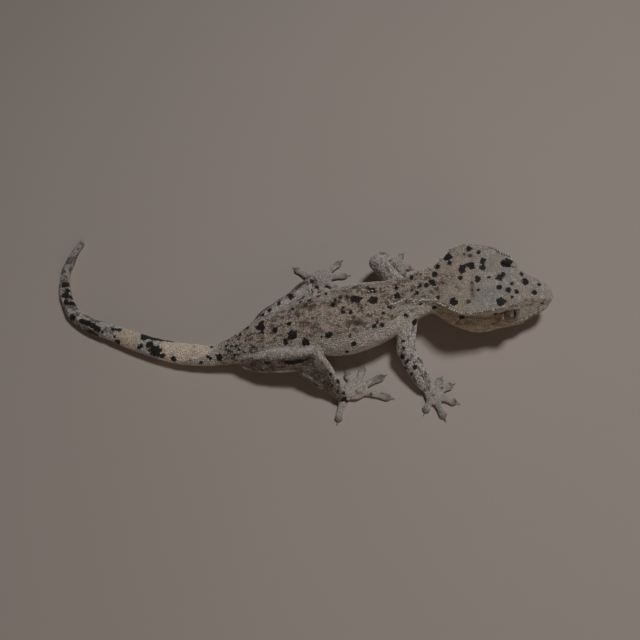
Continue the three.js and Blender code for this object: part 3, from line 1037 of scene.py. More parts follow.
@dataclass(frozen=True)
class HornFinish:
    """Claws: smoky brown horn, darker toward the point."""

    root: Colour = (0.34, 0.26, 0.19)
    point: Colour = (0.09, 0.06, 0.042)

    def build(self) -> Material:
        """Makes the material from the claw mesh's own share of length.

        Returns:
            The material.
        """
        g = Graph("claw_horn")
        colour = g.blend(g.attribute("length_share"), self.root, self.point)
        colour = g.blend(g.rise(g.grain(0.2, 3.0), 0.45, 0.7, 0.4), colour, self.point)
        g.shade(base_color=colour, roughness=0.34)
        g.relief(g.grain(0.12), 0.2, 0.02)
        return g.material


@dataclass(frozen=True)
class FloorFinish:
    """A plain pale floor."""

    colour: Colour = (0.62, 0.54, 0.495)
    shade: Colour = (0.57, 0.495, 0.455)

    def build(self) -> Material:
        """Makes the material.

        Returns:
            The material.
        """
        g = Graph("pale_floor")
        colour = g.blend(g.rise(g.grain(40.0, 3.0), 0.3, 0.7, 0.12), self.colour, self.shade)
        g.shade(base_color=colour, roughness=0.7)
        return g.material


def make_mesh(name: str, points: Vec, faces: Sequence[Vec]) -> Mesh:
    """A mesh from arrays.

    Args:
        name: the mesh's name.
        points: the points, shaped (count, 3).
        faces: arrays of faces, each of one size.

    Returns:
        The mesh, shaded smooth.
    """
    mesh = bpy.data.meshes.new(name)
    mesh.vertices.add(len(points))
    mesh.vertices.foreach_set("co", np.ascontiguousarray(points, np.float32).ravel())
    loops = np.concatenate([f.ravel() for f in faces]).astype(np.int32)
    sizes = np.concatenate([np.full(len(f), f.shape[1]) for f in faces])
    starts = np.concatenate([[0], np.cumsum(sizes)[:-1]]).astype(np.int32)
    mesh.loops.add(len(loops))
    mesh.loops.foreach_set("vertex_index", loops)
    mesh.polygons.add(len(sizes))
    mesh.polygons.foreach_set("loop_start", starts)
    mesh.polygons.foreach_set("use_smooth", np.ones(len(sizes), bool))
    mesh.update(calc_edges=True)
    mesh.validate()
    return mesh


def add_object(name: str, mesh: Mesh, material: Material) -> Object:
    """Puts a mesh in the scene with its material.

    Args:
        name: its name.
        mesh: the mesh.
        material: its finish.

    Returns:
        The object.
    """
    obj = bpy.data.objects.new(name, mesh)
    bpy.context.scene.collection.objects.link(obj)
    mesh.materials.append(material)
    return obj


def carry(mesh: Mesh, values: Values) -> None:
    """Stores numbers on a mesh's points by name."""
    for name, value in values.items():
        layer = mesh.attributes.new(name, "FLOAT", "POINT")
        layer.data.foreach_set("value", np.ascontiguousarray(value, np.float32))


def read_rows(items: bpy.types.bpy_prop_collection, name: str, size: int, kind: type = float) -> Vec:
    """One property of a mesh's items, with a row of size numbers for each item."""
    raw = np.empty(len(items) * size, np.float32 if kind is float else np.int32)
    items.foreach_get(name, raw)
    return raw.reshape(-1, size).astype(kind)


def read_points(mesh: Mesh) -> Vec:
    """A mesh's points."""
    return read_rows(mesh.vertices, "co", 3)


def read_normals(mesh: Mesh) -> Vec:
    """A mesh's normals at its points."""
    return read_rows(mesh.vertex_normals, "vector", 3)


def move_points(mesh: Mesh, points: Vec) -> None:
    """Moves a mesh's points."""
    mesh.vertices.foreach_set("co", points.astype(np.float32).ravel())
    mesh.update()


@dataclass(frozen=True)
class Mound:
    """One rise of the skin, or a hollow where its height is below zero.

    Attributes:
        where: the part that it is on, by its name in Skin.regions.
        height: how far it stands out at its middle, in millimetres.
        bells: middle and reach along each axis that it swells and sinks on.
        ramps: start and end along each axis that it grows on.
        waves: radians of a wave for each step along the part, or 0 for none.
    """

    where: str
    height: float
    bells: dict[str, tuple[float, float]]
    ramps: dict[str, tuple[float, float]] = field(default_factory=dict)
    waves: float = 0.0

    def over(self, axes: Values, regions: Values) -> Vec:
        """How far it lifts each point.

        Args:
            axes: each point's place along every axis.
            regions: which points are on every part.

        Returns:
            Millimetres.
        """
        rise = self.height * regions[self.where]
        for axis, (middle, reach) in self.bells.items():
            rise = rise * bump(axes[axis], middle, reach)
        for axis, (low, high) in self.ramps.items():
            rise = rise * smooth(axes[axis], low, high)
        return rise * np.sin(axes["along"] * self.waves) if self.waves else rise


MOUTH_RAMP = {"ahead": (2.2, 3.4)}
CROWN_RAMP = {"height": (11.2, 12.2)}
CREST_RAMP = {"along": (16.4, 18.9)}
MOUNDS: dict[str, Mound] = {
    "mouth slit": Mound("head", -0.34, {"off": (0.0, 0.15)}, MOUTH_RAMP),
    "upper lip's edge": Mound("head", 0.10, {"off": (0.55, 0.3)}, MOUTH_RAMP),
    "lower lip's edge": Mound("head", 0.10, {"off": (-0.5, 0.3)}, MOUTH_RAMP),
    "full lips": Mound("head", 0.50, {"ahead": (11.2, 3.4), "off": (-0.1, 0.85)}, {"wide": (2.5, 4.5)}),
    "nape's furrow": Mound("head", -0.16, {"ahead": (1.7, 0.45)}, {"wide": (5.5, 3.5), **CROWN_RAMP}),
    "crown's groove": Mound("head", -0.18, {"wide": (0.0, 0.8)}, {"ahead": (13, 6), **CROWN_RAMP}),
    "crown's swells": Mound("head", 0.16, {"ahead": (4.5, 3.0), "wide": (4.2, 1.7)}, CROWN_RAMP),
    "brow's swells": Mound("head", 0.26, {"ahead": (8.4, 2.2), "wide": (4.9, 1.6)}, CROWN_RAMP),
    "slanted furrows": Mound("head", -0.14, {"slant": (4.6, 1.1), "wide": (5.2, 2.2)}, CROWN_RAMP),
    "eye's hollow": Mound("head", -0.22, {"ahead": (13.6, 1.3), "wide": (3.6, 1.2), "height": (9.6, 1.4)}),
    "snout's ridge": Mound("head", 0.16, {"ahead": (16.5, 2.2), "wide": (2.6, 0.6), "height": (9.0, 0.9)}),
    "jaw's muscle": Mound("head", 0.30, {"ahead": (2.5, 3.2), "height": (7.6, 1.8)}, {"wide": (6, 7.5)}),
    "cheek's crease": Mound("head", -0.22, {"ahead": (5.9, 0.5), "height": (7.9, 1.3)}, {"wide": (6.5, 7.5)}),
    "throat's fold": Mound("body", 0.30, {"along": (16.5, 1.5), "lift": (-38.0, 7.0)}),
    "crease under it": Mound("body", -0.20, {"along": (16.5, 1.6), "lift": (-52.0, 7.0)}),
    "spine's furrow": Mound("body", -0.10, {"lift": (90.0, 9.0)}, {"along": (11.5, 13.5)}),
    "spine's sides": Mound("body", 0.07, {"lift": (58.0, 12.0)}, {"along": (12.0, 14.0)}),
    "neck's crest": Mound("body", 0.62, {"over_crest": (1.0, 9.0)}, CREST_RAMP),
    "hollow under it": Mound("body", -0.30, {"over_crest": (-22.0, 10.0)}, CREST_RAMP),
    "neck's creases": Mound("body", -0.07, {"along": (19.2, 0.9)}, {"lift": (70, 30)}, waves=19.0),
    "thigh's blade": Mound("thigh", 0.35, {"turned": (84.0, 20.0), "along": (0.6, 0.4)}),
    "thigh's flat": Mound("thigh", -0.75, {"turned": (142.0, 30.0), "along": (0.55, 0.4)}),
    "shin's blade": Mound("shin", 0.22, {"turned": (82.0, 24.0), "along": (0.5, 0.4)}),
    "shin's flat": Mound("shin", -0.42, {"turned": (140.0, 30.0), "along": (0.5, 0.35)}),
    "groin's hollow": Mound("thigh", -1.1, {"turned": (165.0, 42.0)}, {"along": (0.32, 0.02)}),
    "bend's folds above": Mound("upper", 0.05, {"along": (0.93, 0.12)}, waves=75.0),
    "bend's folds below": Mound("lower", 0.05, {"along": (0.1, 0.12)}, waves=75.0),
    "wrist's folds": Mound("lower", 0.04, {"along": (0.9, 0.12)}, waves=80.0),
}


class Skin:
    """One closed skin over the whole animal, in the plan's millimetres until it is placed."""

    voxel: float = 0.268
    lid: float = 0.22
    mouth_corner: tuple[float, float] = (2.6, 5.7)
    mouth_front: float = 5.9
    nostril: Triple = (18.7, 1.55, 7.45)
    ear: tuple[float, float] = (-1.4, 7.4)
    ear_width: float = 0.38
    neck_crest: Pairs = ((15.5, 72), (16.5, 69), (17.2, 73), (17.7, 71), (18.35, 60), (18.9, 52), (20.4, 36))

    def __init__(
        self, head: HeadForm, body: BodyForm, legs: Sequence[LegForm], eyes: Sequence[EyePlace]
    ) -> None:
        """Wraps the forms and works out what each point stands for.

        Args:
            head: the head's form.
            body: the body's form.
            legs: the legs' forms.
            eyes: the eyes' places.
        """
        self.head = head
        self.eyes = eyes
        self.legs = legs
        tubes = [body.tube(), head.tube()]
        for leg in legs:
            tubes += leg.tubes()
        self.mesh = self.wrap(tubes)
        self.refine()
        self.points = read_points(self.mesh)
        self.ease_joints()
        self.places = self.find_places(tubes)
        self.sculpt()
        self.normals = read_normals(self.mesh)

    def wrap(self, tubes: Sequence[Tube]) -> Mesh:
        """Joins the tubes into one closed surface.

        Args:
            tubes: the forms' tubes.

        Returns:
            The surface's mesh.
        """
        points, faces, start = [], [], 0
        for tube in tubes:
            quads, triangles = tube.faces()
            points.append(tube.points())
            faces += [quads + start, triangles + start]
            start += len(points[-1])
        rough = make_mesh("rough_form", np.concatenate(points), faces)
        obj = bpy.data.objects.new("rough_form", rough)
        bpy.context.scene.collection.objects.link(obj)
        remesh = obj.modifiers.new("wrap", "REMESH")
        remesh.mode = "VOXEL"
        remesh.voxel_size = self.voxel
        remesh.use_smooth_shade = True
        depsgraph = bpy.context.evaluated_depsgraph_get()
        mesh = bpy.data.meshes.new_from_object(obj.evaluated_get(depsgraph))
        bpy.data.objects.remove(obj)
        mesh.name = "skin"
        return mesh

    def mouth_line(self, along: Vec) -> Vec:
        """Height of the mouth's line along the head."""
        corner, height = self.mouth_corner
        share = np.clip((along - corner) / (self.head.tip - corner), 0, 1)
        return height + (self.mouth_front - height) * share - 0.25 * np.sin(np.pi * share)

    def refine(self) -> None:
        """Splits the faces around the eyes, the nostrils and the mouth once more."""
        points = read_points(self.mesh)
        local = self.head.local(points)
        wanted = np.zeros(len(points), bool)
        for eye in self.eyes:
            wanted |= np.linalg.norm(points - eye.centre(self.head), axis=1) < eye.radius + 1.6
        on_head = (local[:, 0] > self.mouth_corner[0] - 1) & (np.abs(local[:, 1]) < 11)
        wanted |= on_head & (np.abs(local[:, 2] - self.mouth_line(local[:, 0])) < 0.75)
        wanted |= (local[:, 0] > 17) & (np.abs(local[:, 1]) < 3)
        form = bmesh.new()
        form.from_mesh(self.mesh)
        form.verts.ensure_lookup_table()
        edges = [e for e in form.edges if wanted[e.verts[0].index] and wanted[e.verts[1].index]]
        bmesh.ops.subdivide_edges(form, edges=edges, cuts=1, use_grid_fill=True)
        form.to_mesh(self.mesh)
        form.free()
        self.mesh.update()

    def edges(self) -> Vec:
        """The mesh's edges as pairs of points."""
        return read_rows(self.mesh.edges, "vertices", 2, int)

    def relax(self, values: Vec, weight: Vec, rounds: int) -> Vec:
        """Averages values with their neighbours'.

        Args:
            values: one row for each point.
            weight: how far each point may move toward its neighbours' mean, from 0 to 1.
            rounds: how many times.

        Returns:
            The new values.
        """
        a, b = self.edges().T
        count = len(values)
        degree = np.bincount(a, minlength=count) + np.bincount(b, minlength=count)
        result = values.copy()
        for _ in range(rounds):
            for column in range(values.shape[1]):
                total = np.bincount(a, result[b, column], count) + np.bincount(b, result[a, column], count)
                mean = total / np.maximum(degree, 1)
                result[:, column] += weight * (mean - result[:, column])
        return result

    def ease_joints(self) -> None:
        """Smooths the creases where limbs, heel, toes and neck grow from what carries them."""
        weight = np.full(len(self.points), 0.12)
        for leg in self.legs:
            for joint, reach in ((leg.root, 5.5), (leg.bend, 3.6), (leg.ankle, 2.2)):
                away = np.linalg.norm(self.points - np.array(joint), axis=1)
                weight = np.maximum(weight, 0.9 * np.exp(-((away / reach) ** 2)))
            palm = np.array([*leg.palm, self.legs[0].flesh.palm_height])
            away = np.linalg.norm(self.points - palm, axis=1)
            weight = np.maximum(weight, 0.55 * np.exp(-((away / 2.6) ** 2)))
        local = self.head.local(self.points)
        nape = bump(local[:, 0], self.head.back + 0.8, 2.2) * (np.abs(local[:, 1]) < 9)
        weight = np.maximum(weight, 0.9 * nape)
        self.points = self.relax(self.points, weight, 14)
        self.points[:, 2] = np.maximum(self.points[:, 2], GROUND)

    def find_places(self, tubes: Sequence[Tube]) -> Places:
        """Looks up the nearest point of the forms for each point of the skin.

        Args:
            tubes: the forms' tubes.

        Returns:
            What each point stands for.
        """
        cloud = np.concatenate([tube.points() for tube in tubes])
        part = np.concatenate([np.full(len(t.points()), t.part, int) for t in tubes])
        leg = np.concatenate([np.full(len(t.points()), t.leg, int) for t in tubes])
        along = np.concatenate([t.spread(t.along) for t in tubes])
        angle = np.concatenate([t.angles() for t in tubes])
        lie = np.concatenate([t.spread(t.lie) for t in tubes])
        tree = indexed(cloud, range(len(cloud)))
        nearest = np.array([tree.find(point)[1] for point in self.points])
        lie = unit(self.relax(lie[nearest], np.full(len(self.points), 0.8), 8))
        return Places(part[nearest], leg[nearest], along[nearest], angle[nearest], lie)

    def push(self, amount: Vec) -> None:
        """Moves each point out along its normal."""
        move_points(self.mesh, self.points)
        self.points = self.points + read_normals(self.mesh) * amount[:, None]

    def sculpt(self) -> None:
        """Adds the creases, folds, lids, lips, ears and nostrils."""
        self.push(self.relief())
        for eye in self.eyes:
            self.open_lids(eye)
        self.points[:, 2] = np.maximum(self.points[:, 2], GROUND)
        move_points(self.mesh, self.points)

    def regions(self) -> Values:
        """Which points belong to each part that a mound can be on.

        Returns:
            1 on the part and 0 off it, by the part's name.
        """
        part, hind = self.places.part, self.places.leg >= 2
        upper, lower = part == Part.UPPER, part == Part.LOWER
        masks = {
            "head": part == Part.HEAD, "body": part == Part.BODY, "upper": upper, "lower": lower,
            "thigh": upper & hind, "shin": lower & hind,
        }
        return {name: mask.astype(float) for name, mask in masks.items()}

    def axes(self) -> Values:
        """Each point's place along every axis that a mound is laid on.

        Returns:
            Places by the axis's name.
        """
        along, angle = self.places.along, self.places.angle
        ahead, side, height = self.head.local(self.points).T
        beyond = np.abs(angle) > math.pi / 2
        lift = np.degrees(np.where(beyond, np.sign(angle) * math.pi - angle, angle))
        return {
            "along": along, "lift": lift, "over_crest": lift - np.interp(along, *np.array(self.neck_crest).T),
            "turned": self.places.turned(), "ahead": ahead, "wide": np.abs(side), "height": height,
            "off": height - self.mouth_line(ahead), "slant": ahead - 0.35 * np.abs(side),
        }

    def relief(self) -> Vec:
        """How far each point stands out, in millimetres.

        Returns:
            Heights, below zero for hollows.
        """
        axes, regions = self.axes(), self.regions()
        rise = sum(mound.over(axes, regions) for mound in MOUNDS.values())
        rise = rise + regions["head"] * (self.nostrils(axes) + self.ears(axes))
        feet = self.places.part >= Part.FOOT
        rise = rise + np.where(feet, 0.04, 0.17) * wobble(self.points, 0.42)
        return rise + np.where(feet, 0.02, 0.05) * wobble(self.points, 1.3)

    def nostrils(self, axes: Values) -> Vec:
        """A pit in a low rim on each side of the snout."""
        ahead, wide, height = self.nostril
        away = (axes["ahead"] - ahead) ** 2 + (axes["wide"] - wide) ** 2 + (axes["height"] - height) ** 2
        return 0.14 * np.exp(-away / 0.45) - 0.55 * np.exp(-away / 0.045)

    def ears(self, axes: Values) -> Vec:
        """A slanted slit in a low rim behind each cheek.

        Args:
            axes: each point's place along every axis.

        Returns:
            Heights in millimetres.
        """
        ahead, height = self.ear
        above = axes["height"] - height
        away = ((axes["ahead"] - ahead - 0.25 * above) / self.ear_width) ** 2 + above**2
        away = away + np.where(axes["wide"] > 5, 0.0, 9.0)
        return 0.16 * np.exp(-away / 2.6) - 0.75 * np.exp(-away / 0.9)

    def open_lids(self, eye: EyePlace) -> None:
        """Sinks the skin behind one eyeball and raises a lid's edge around it.

        Args:
            eye: the eye's place.
        """
        centre, axes = eye.centre(self.head), eye.axes(self.head)
        away = self.points - centre
        reach = np.linalg.norm(away, axis=1)
        near = (reach < eye.radius + 3.4) & (self.places.part == Part.HEAD)
        spoke = away[near] / reach[near, None]
        ahead, out, up = (spoke @ axes.T).T
        span = np.sqrt((ahead / 0.93) ** 2 + (up / 0.86) ** 2)
        span = np.where(out > 0, span, 2.0 - 0.4 * span)
        span = np.where((out > 0) & (up > 0.35), span + 0.9 * (up - 0.35), span)
        inside = eye.radius - 0.45
        edge = eye.radius + self.lid
        target = inside + (edge - inside) * smooth(span, 0.86, 0.98)
        target = target - 0.10 * bump(span, 1.16, 0.07) + 0.06 * bump(span, 1.27, 0.07)
        keep = smooth(span, 1.08, 1.85)
        natural = np.maximum(reach[near], edge - 0.08)
        new = np.where(out > -0.35, target + keep * (natural - target), reach[near])
        fade = smooth(reach[near], eye.radius + 3.3, eye.radius + 1.7) * smooth(out, -0.4, -0.1)
        new = reach[near] + fade * (new - reach[near])
        self.points[near] = centre + spoke * new[:, None]

    def triangles(self) -> Vec:
        """The mesh's triangles as point numbers."""
        self.mesh.calc_loop_triangles()
        return read_rows(self.mesh.loop_triangles, "vertices", 3, int)

    def tree(self) -> BVHTree:
        """The skin's faces, to find places on it."""
        return BVHTree.FromPolygons(self.points.tolist(), self.triangles().tolist())


class Tints:
    """The slow changes of colour over the skin, some of them painted light and shade, each as shares from 0
    to 1.
    """

    tail_front: float = 11.5

    def __init__(self, skin: Skin) -> None:
        """Reads what the tints are worked out from.

        Args:
            skin: the finished skin.
        """
        places = skin.places
        part = places.part
        self.along, self.leg = places.along, places.leg
        self.up = skin.normals[:, 2]
        self.degrees = np.degrees(places.angle)
        self.ahead, _, self.height = skin.head.local(skin.points).T
        self.ripple = wobble(skin.points, 0.55)
        self.body, self.head, self.toe = part == Part.BODY, part == Part.HEAD, part == Part.TOE
        self.upper, self.lower = part == Part.UPPER, part == Part.LOWER
        self.legs, self.feet = self.upper | self.lower, part >= Part.FOOT
        self.hind = places.leg >= 2
        self.tail = self.body & (self.along < self.tail_front)
        self.turned = places.turned()
        self.wavy = self.turned + 9.0 * self.ripple
        self.spine = smooth(self.up + 0.25 * self.ripple, 0.68, 0.92)
        self.belly = smooth(self.up, -0.05, -0.6) * np.where(self.feet, 0.4, 0.95)
        self.under = smooth(self.height, 12.4, 10.8) * smooth(self.up, 0.8, 0.4)
        sides = smooth(self.up, 0.90, 0.55) * smooth(self.up, -0.25, 0.1)
        self.flank = sides * smooth(self.along, 13.5, 15.5)
        # painted shade on the hind legs' flats
        self.shaded = self.shade()
        self.edge = np.where(self.legs & self.hind, bump(self.turned, 197.0, 7.0), 0.0)

    def back(self) -> Vec:
        """The tan patches and specks of the back.

        Returns:
            Shares.
        """
        found = np.where(self.body, self.spine * smooth(self.along, 11.6, 13.0), 0.0)
        found = np.where(self.body & (self.along > 18.0), found * 0.8, found)
        nape = 0.24 * smooth(self.up, 0.4, 0.9) * smooth(self.ahead + 4 * self.ripple, 5.0, -4.0)
        found = np.where(self.head, nape, found)
        return np.where(self.legs, 0.3 * smooth(self.up, 0.3, 0.8), found)

    def warm(self) -> Vec:
        """The warmth of cheeks, crown, throat and the undersides of the hind legs; on the sides and
        undersides it is partly painted warm bounce light from the floor.

        Returns:
            Shares.
        """
        cheek = 0.85 * self.under * smooth(self.ahead, 14.0, 8.5)
        crown = smooth(self.up, 0.5, 0.9) * (self.height > 10.5)
        wavy = self.ahead + 3.0 * self.ripple
        cream = np.maximum(0.26 * smooth(wavy, 5.0, 0.0), 0.20 * smooth(wavy, 9.0, 12.0))
        found = np.where(self.head, np.maximum(cheek, crown * cream), 0.0)
        throat = smooth(self.up, 0.2, -0.3) * smooth(self.along, 17.6, 18.6)
        found = np.where(self.body, 0.6 * throat, found)
        return np.where(self.legs & self.hind, 0.55 * smooth(self.up, 0.35, -0.1), found)

    def band(self) -> Vec:
        """The cream band at the tail's root: its front is a point on the back, drawn back at the sides.

        Returns:
            Shares.
        """
        right, left = smooth(self.degrees, 96.0, 165.0), smooth(self.degrees, 88.0, 20.0)
        front = 11.27 - 1.55 * right - 1.0 * left - 0.9 * smooth(self.degrees, -10.0, -80.0)
        ring = smooth(self.along, 8.62, 8.98) * smooth(self.along - front, 0.07, -0.07)
        return np.where(self.body, ring, 0.0)

    def patch(self) -> Vec:
        """The duller cream patch behind the band."""
        return np.where(self.body, bump(self.along, 7.6, 0.42) * smooth(self.up, -0.3, 0.2), 0.0)

    def stipple(self) -> Vec:
        """The fine brown dashes of every part.

        Returns:
            Shares.
        """
        root = bump(self.along, 12.0, 0.9) * smooth(self.up, -0.6, 0.3)
        trunk = 0.45 + 0.45 * root + 0.25 * smooth(self.along, 16.5, 14.0) * self.spine
        found = np.where(self.body, trunk, 0.14)
        found = np.where(self.body & (self.along > 15.5), 0.30 + 0.42 * self.spine, found)
        found = np.where(self.body, np.maximum(found, 0.9 * bump(self.along, 12.6, 1.1)), found)
        found = np.where(self.tail, 0.30 * smooth(self.along, 8.9, 7.0) + 0.10, found)
        found = np.where(self.legs, 0.64, found)
        found = np.where(self.lower & ~self.hind, 0.80, found)
        found = np.where(self.legs & (self.leg == 3), 1.0, found)
        found = np.where(self.upper & self.hind, found * (1 - 0.55 * bump(self.turned, 82.0, 26.0)), found)
        found = np.where(self.feet, 0.42, found)
        found = np.where(self.head, 0.12 + 0.35 * self.under, found)
        found = np.where(self.belly > 0.4, 0.18, found)
        return np.where(self.body & ~self.tail, found * (1 - 0.45 * self.flank), found)

    def shade(self) -> Vec:
        """Painted shade on the flats of thighs and shins, behind the pale blade along their tops, partly
        their own darker brown.

        Returns:
            Shares.
        """
        far = 24.0 * (self.leg % 2)
        blade = far + 84.0 + 24.0 * smooth(self.along, 0.0, 0.5)
        thigh = smooth(self.wavy, blade, blade + 16.0) * smooth(self.along, 0.0, 0.14)
        found = np.where(self.upper & self.hind, thigh, 0.0)
        found = np.where(self.lower & self.hind, smooth(self.wavy, far + 60.0, far + 80.0), found)
        return found * smooth(self.wavy, 236.0, 206.0)

    def blotch_and_shade(self) -> Vec:
        """The brown blotches of the tail and its root, and blotchy painted shade on the hind legs' flats.

        Returns:
            Shares.
        """
        # blotchy painted shade on the hind legs' flats
        found = np.where(self.legs & self.hind, 0.55 * self.shaded, 0.0)
        found = np.where(self.tail, 0.74 * smooth(self.along, 7.4, 6.8), found)
        return np.where(self.body, np.maximum(found, 0.55 * bump(self.along, 11.7, 0.35)), found)

    def bright(self) -> Vec:
        """The whitish blades, arms, feet, flanks and tail; the tops of the hind legs' blades are whitened
        partly as painted light.

        Returns:
            Shares.
        """
        # painted light along the tops of the hind legs' thighs and shins, partly their own pale colour
        lit = np.where(self.upper, bump(self.wavy, 82.0, 22.0), bump(self.wavy, 40.0, 16.0))
        hind = np.maximum(0.95 * lit * (1 - self.shaded), 0.75 * self.edge)
        found = np.where(self.legs & self.hind, hind, 0.0)
        found = np.where(self.legs & ~self.hind, 0.78, found)
        found = np.where(self.feet, 0.50, found)
        found = np.where(self.body, (0.62 + 0.23 * smooth(self.along, 15.6, 16.8)) * self.flank, found)
        tail = 0.75 * smooth(self.along, 2.6, 4.4) * smooth(self.up, -0.3, 0.2)
        return np.clip(np.where(self.tail, tail, found), 0, 1)

    def all(self) -> Values:
        """Every tint under the name that the finish reads it by.

        Returns:
            Shares by name.
        """
        # painted shadow at the toes' lifted tips
        pad = 0.75 * bump(self.along, 0.90, 0.13) * smooth(self.up, -0.2, 0.4)
        return {
            "back": self.back(), "belly": self.belly, "cheek": self.warm(), "cream": self.band(),
            "dull_cream": self.patch(), "stipple": self.stipple(), "blotch_and_shade": self.blotch_and_shade(),
            "steel": np.where(self.tail, 0.75 * smooth(self.along, 3.4, 1.8), 0.0),
            "pad": np.where(self.toe, pad, 0.0), "bright": self.bright(),
            # painted shade on the hind legs' flats, kept off their pale lower edge
            "brown_and_shade_wash": 0.60 * self.shaded * (1 - self.edge),
        }


@dataclass
class Markings:
    """The animal's pattern: where its spots and tints lie.

    Spots that the photograph shows are named by their pixel and their radius in pixels. A seeded
    scatter of the same kind fills what it doesn't show.
    """

    head_spots: Pairs = (
        (506.8, 262.5, 4.7), (500.8, 301.6, 4.5), (453.7, 302.1, 4.3), (447.7, 257.1, 4),
        (449.3, 263.1, 2.5), (437.6, 266.9, 2.6), (435.2, 274.2, 3), (432.5, 282.6, 3.5), (426, 284.8, 2.3),
        (419.5, 286.4, 2.7), (429.3, 267.4, 1.9), (411.4, 277.7, 2.5), (461.3, 269, 3.8), (465, 265.8, 2),
        (470.5, 265.8, 4), (482.9, 260.9, 3), (482.4, 267.1, 3), (478.6, 252, 2), (468.5, 249, 3),
        (453.9, 246.5, 1.2), (460.5, 277.7, 2.4), (477.7, 278.8, 3.3), (478.1, 290, 1.8),
        (489.1, 277.5, 1.8), (498.5, 276.8, 3.8), (502.8, 273.4, 2.6), (499.2, 286.9, 2.8),
        (508.4, 290.2, 3), (516.3, 291.3, 2.2), (511.7, 283.9, 1.7), (512.2, 297, 1.5), (521.4, 273.7, 3),
        (525.2, 281.5, 3.7), (538.8, 284.5, 2.2), (534.4, 292.3, 2.8), (542, 303.7, 1.8),
        (461.3, 317.3, 2.5), (434.7, 307.5, 2), (420.6, 303.7, 1.6), (437.9, 297.2, 1.8),
        (416.8, 292.7, 2.2), (411.7, 290.2, 1.5), (495.4, 313.5, 1.8),
    )
    trunk_spots: Pairs = (
        (356.4, 299.1, 4.5), (373.1, 300.7, 4), (397, 295.9, 3.3), (261, 326.2, 4.2), (262.5, 332.3, 1.8),
        (292.4, 334.9, 4.2), (285.3, 342.5, 2.2), (305.5, 342.5, 3.6), (328.7, 334.9, 3),
        (321.1, 337.3, 1.5), (374.2, 325.8, 2.2), (381.8, 325.2, 2.2), (353.6, 343.6, 2.6),
        (347.3, 351.8, 1.5), (350.3, 312.6, 2), (343.2, 307.2, 1.7), (340.1, 297.6, 1.5), (333, 305, 2.2),
        (289, 324.1, 2), (275.1, 330.6, 2.5), (292.4, 308.9, 1.5), (290.7, 296.3, 2.7), (389.4, 306.7, 2),
        (383.3, 313.2, 1.5), (405.6, 314.8, 2), (415, 321.9, 2.7), (344.6, 399.6, 2.8), (330.8, 374.4, 2),
        (338.4, 381.5, 2.3), (344, 393.3, 1.7), (332, 385.8, 1.2), (337.4, 391.2, 1.3), (403.3, 341.1, 1.5),
        (403.2, 347.9, 1.7), (402.3, 356.8, 2.4), (407.5, 361.2, 1.7), (405.8, 363.3, 1.5),
        (405.4, 367.9, 1.5), (415, 367, 2.2), (412, 373.7, 1.5), (300.5, 302, 1.5), (343, 312.5, 2),
        (361.5, 308, 1.5), (372, 290, 2.6), (396.5, 288, 1.9), (377.8, 322, 1.4), (383.5, 313, 1.7),
        (350, 335.5, 1.5), (285, 341.5, 2.4), (302, 279, 2.2), (312, 281.5, 2.2), (289.5, 295.5, 2.8),
        (279, 303, 2.2), (269.5, 310, 2), (262.5, 315, 1.7), (347, 297, 1.6), (335, 299.5, 1.5),
        (318, 296.5, 1.5), (309, 300.5, 1.4), (326, 293.5, 1.5),
    )
    tail_spots: Pairs = (
        (156, 351, 6.3), (149, 344.5, 3.6), (161.5, 355.5, 3.2), (139, 347.5, 2.4), (141.5, 346, 2),
        (67.5, 291, 2.4), (108.7, 343.7, 1.6), (190, 360.3, 1.2), (201, 362.3, 2), (210.5, 358.8, 1.8),
        (219, 357.4, 3.4), (172.5, 342, 1.3), (215, 344, 2.2), (221, 341.5, 1.8), (211.5, 347, 1.4),
        (208, 357, 1.6), (234, 355, 1.6), (226, 346.5, 1.5), (239.5, 349.5, 1.4), (233, 331, 1.6),
        (247, 328, 1.7), (241, 325.5, 1.3), (228, 352, 1.3), (236, 346, 1.6), (246, 341, 1.5),
        (240, 334.5, 1.6), (231, 337.5, 1.4), (252, 334, 1.3), (244, 352.5, 1.6), (253, 347, 1.3),
        (173.3, 358.8, 3), (144.6, 336.5, 4), (117.8, 342.2, 3.3), (114.6, 336.5, 1.5), (102.5, 332, 1.3),
        (83.4, 320.6, 1.6), (96.1, 326.3, 1.6), (90.4, 332, 2.5), (71.9, 317.4, 3), (66.1, 302.1, 2.5),
        (66.1, 295.7, 3.5), (64.9, 284.8, 3),
    )
    streaks: Pairs = (
        (368, 287.5, 375, 292, 1.8), (492, 324.4, 494.2, 323, 1), (286, 362.5, 301, 361.5, 2.1),
        (301, 361.5, 310, 358, 1), (265, 362.5, 270, 363, 1.2), (143, 337, 158, 339, 2.6),
        (158, 339.5, 173, 342, 1.7), (112.5, 329.5, 120.5, 330, 1.5), (82.5, 321, 98, 328.5, 2.6),
        (88, 331, 96, 334.5, 1.6), (64, 285.5, 68, 285, 2.4), (63.5, 295.5, 71, 297.5, 2.6),
        (68, 303.5, 74, 303.5, 2),
    )
    brown_spots: Pairs = (
        (469.9, 255.5, 2), (468.3, 301.6, 2.2), (471.8, 283, 1.4), (472.4, 290, 1.5), (473, 296, 1.2),
        (464, 254, 1.6), (443, 283, 1.7), (437, 289, 1.8), (447, 276, 1.3), (456, 287, 1.2), (431, 292, 1.6),
        (425, 296, 1.3), (421.6, 375.4, 1.5), (441.8, 388.2, 1.3), (433.5, 395.4, 1), (355.7, 390.4, 1.2),
        (371.2, 393.8, 1.8), (340, 423.3, 1), (339.5, 384.2, 1.4), (333, 305, 2.5), (289, 324, 2.4),
        (274.6, 330, 2.5), (298, 316, 2), (312, 318, 1.7), (318, 324.6, 1.6), (357, 323, 3), (306, 305, 2.6),
        (282, 318, 1.4), (266, 317, 1.5), (324, 317, 1.4), (345, 330, 1.3), (366, 305, 1.4), (381, 318, 1.6),
        (392, 316, 1.5),
    )
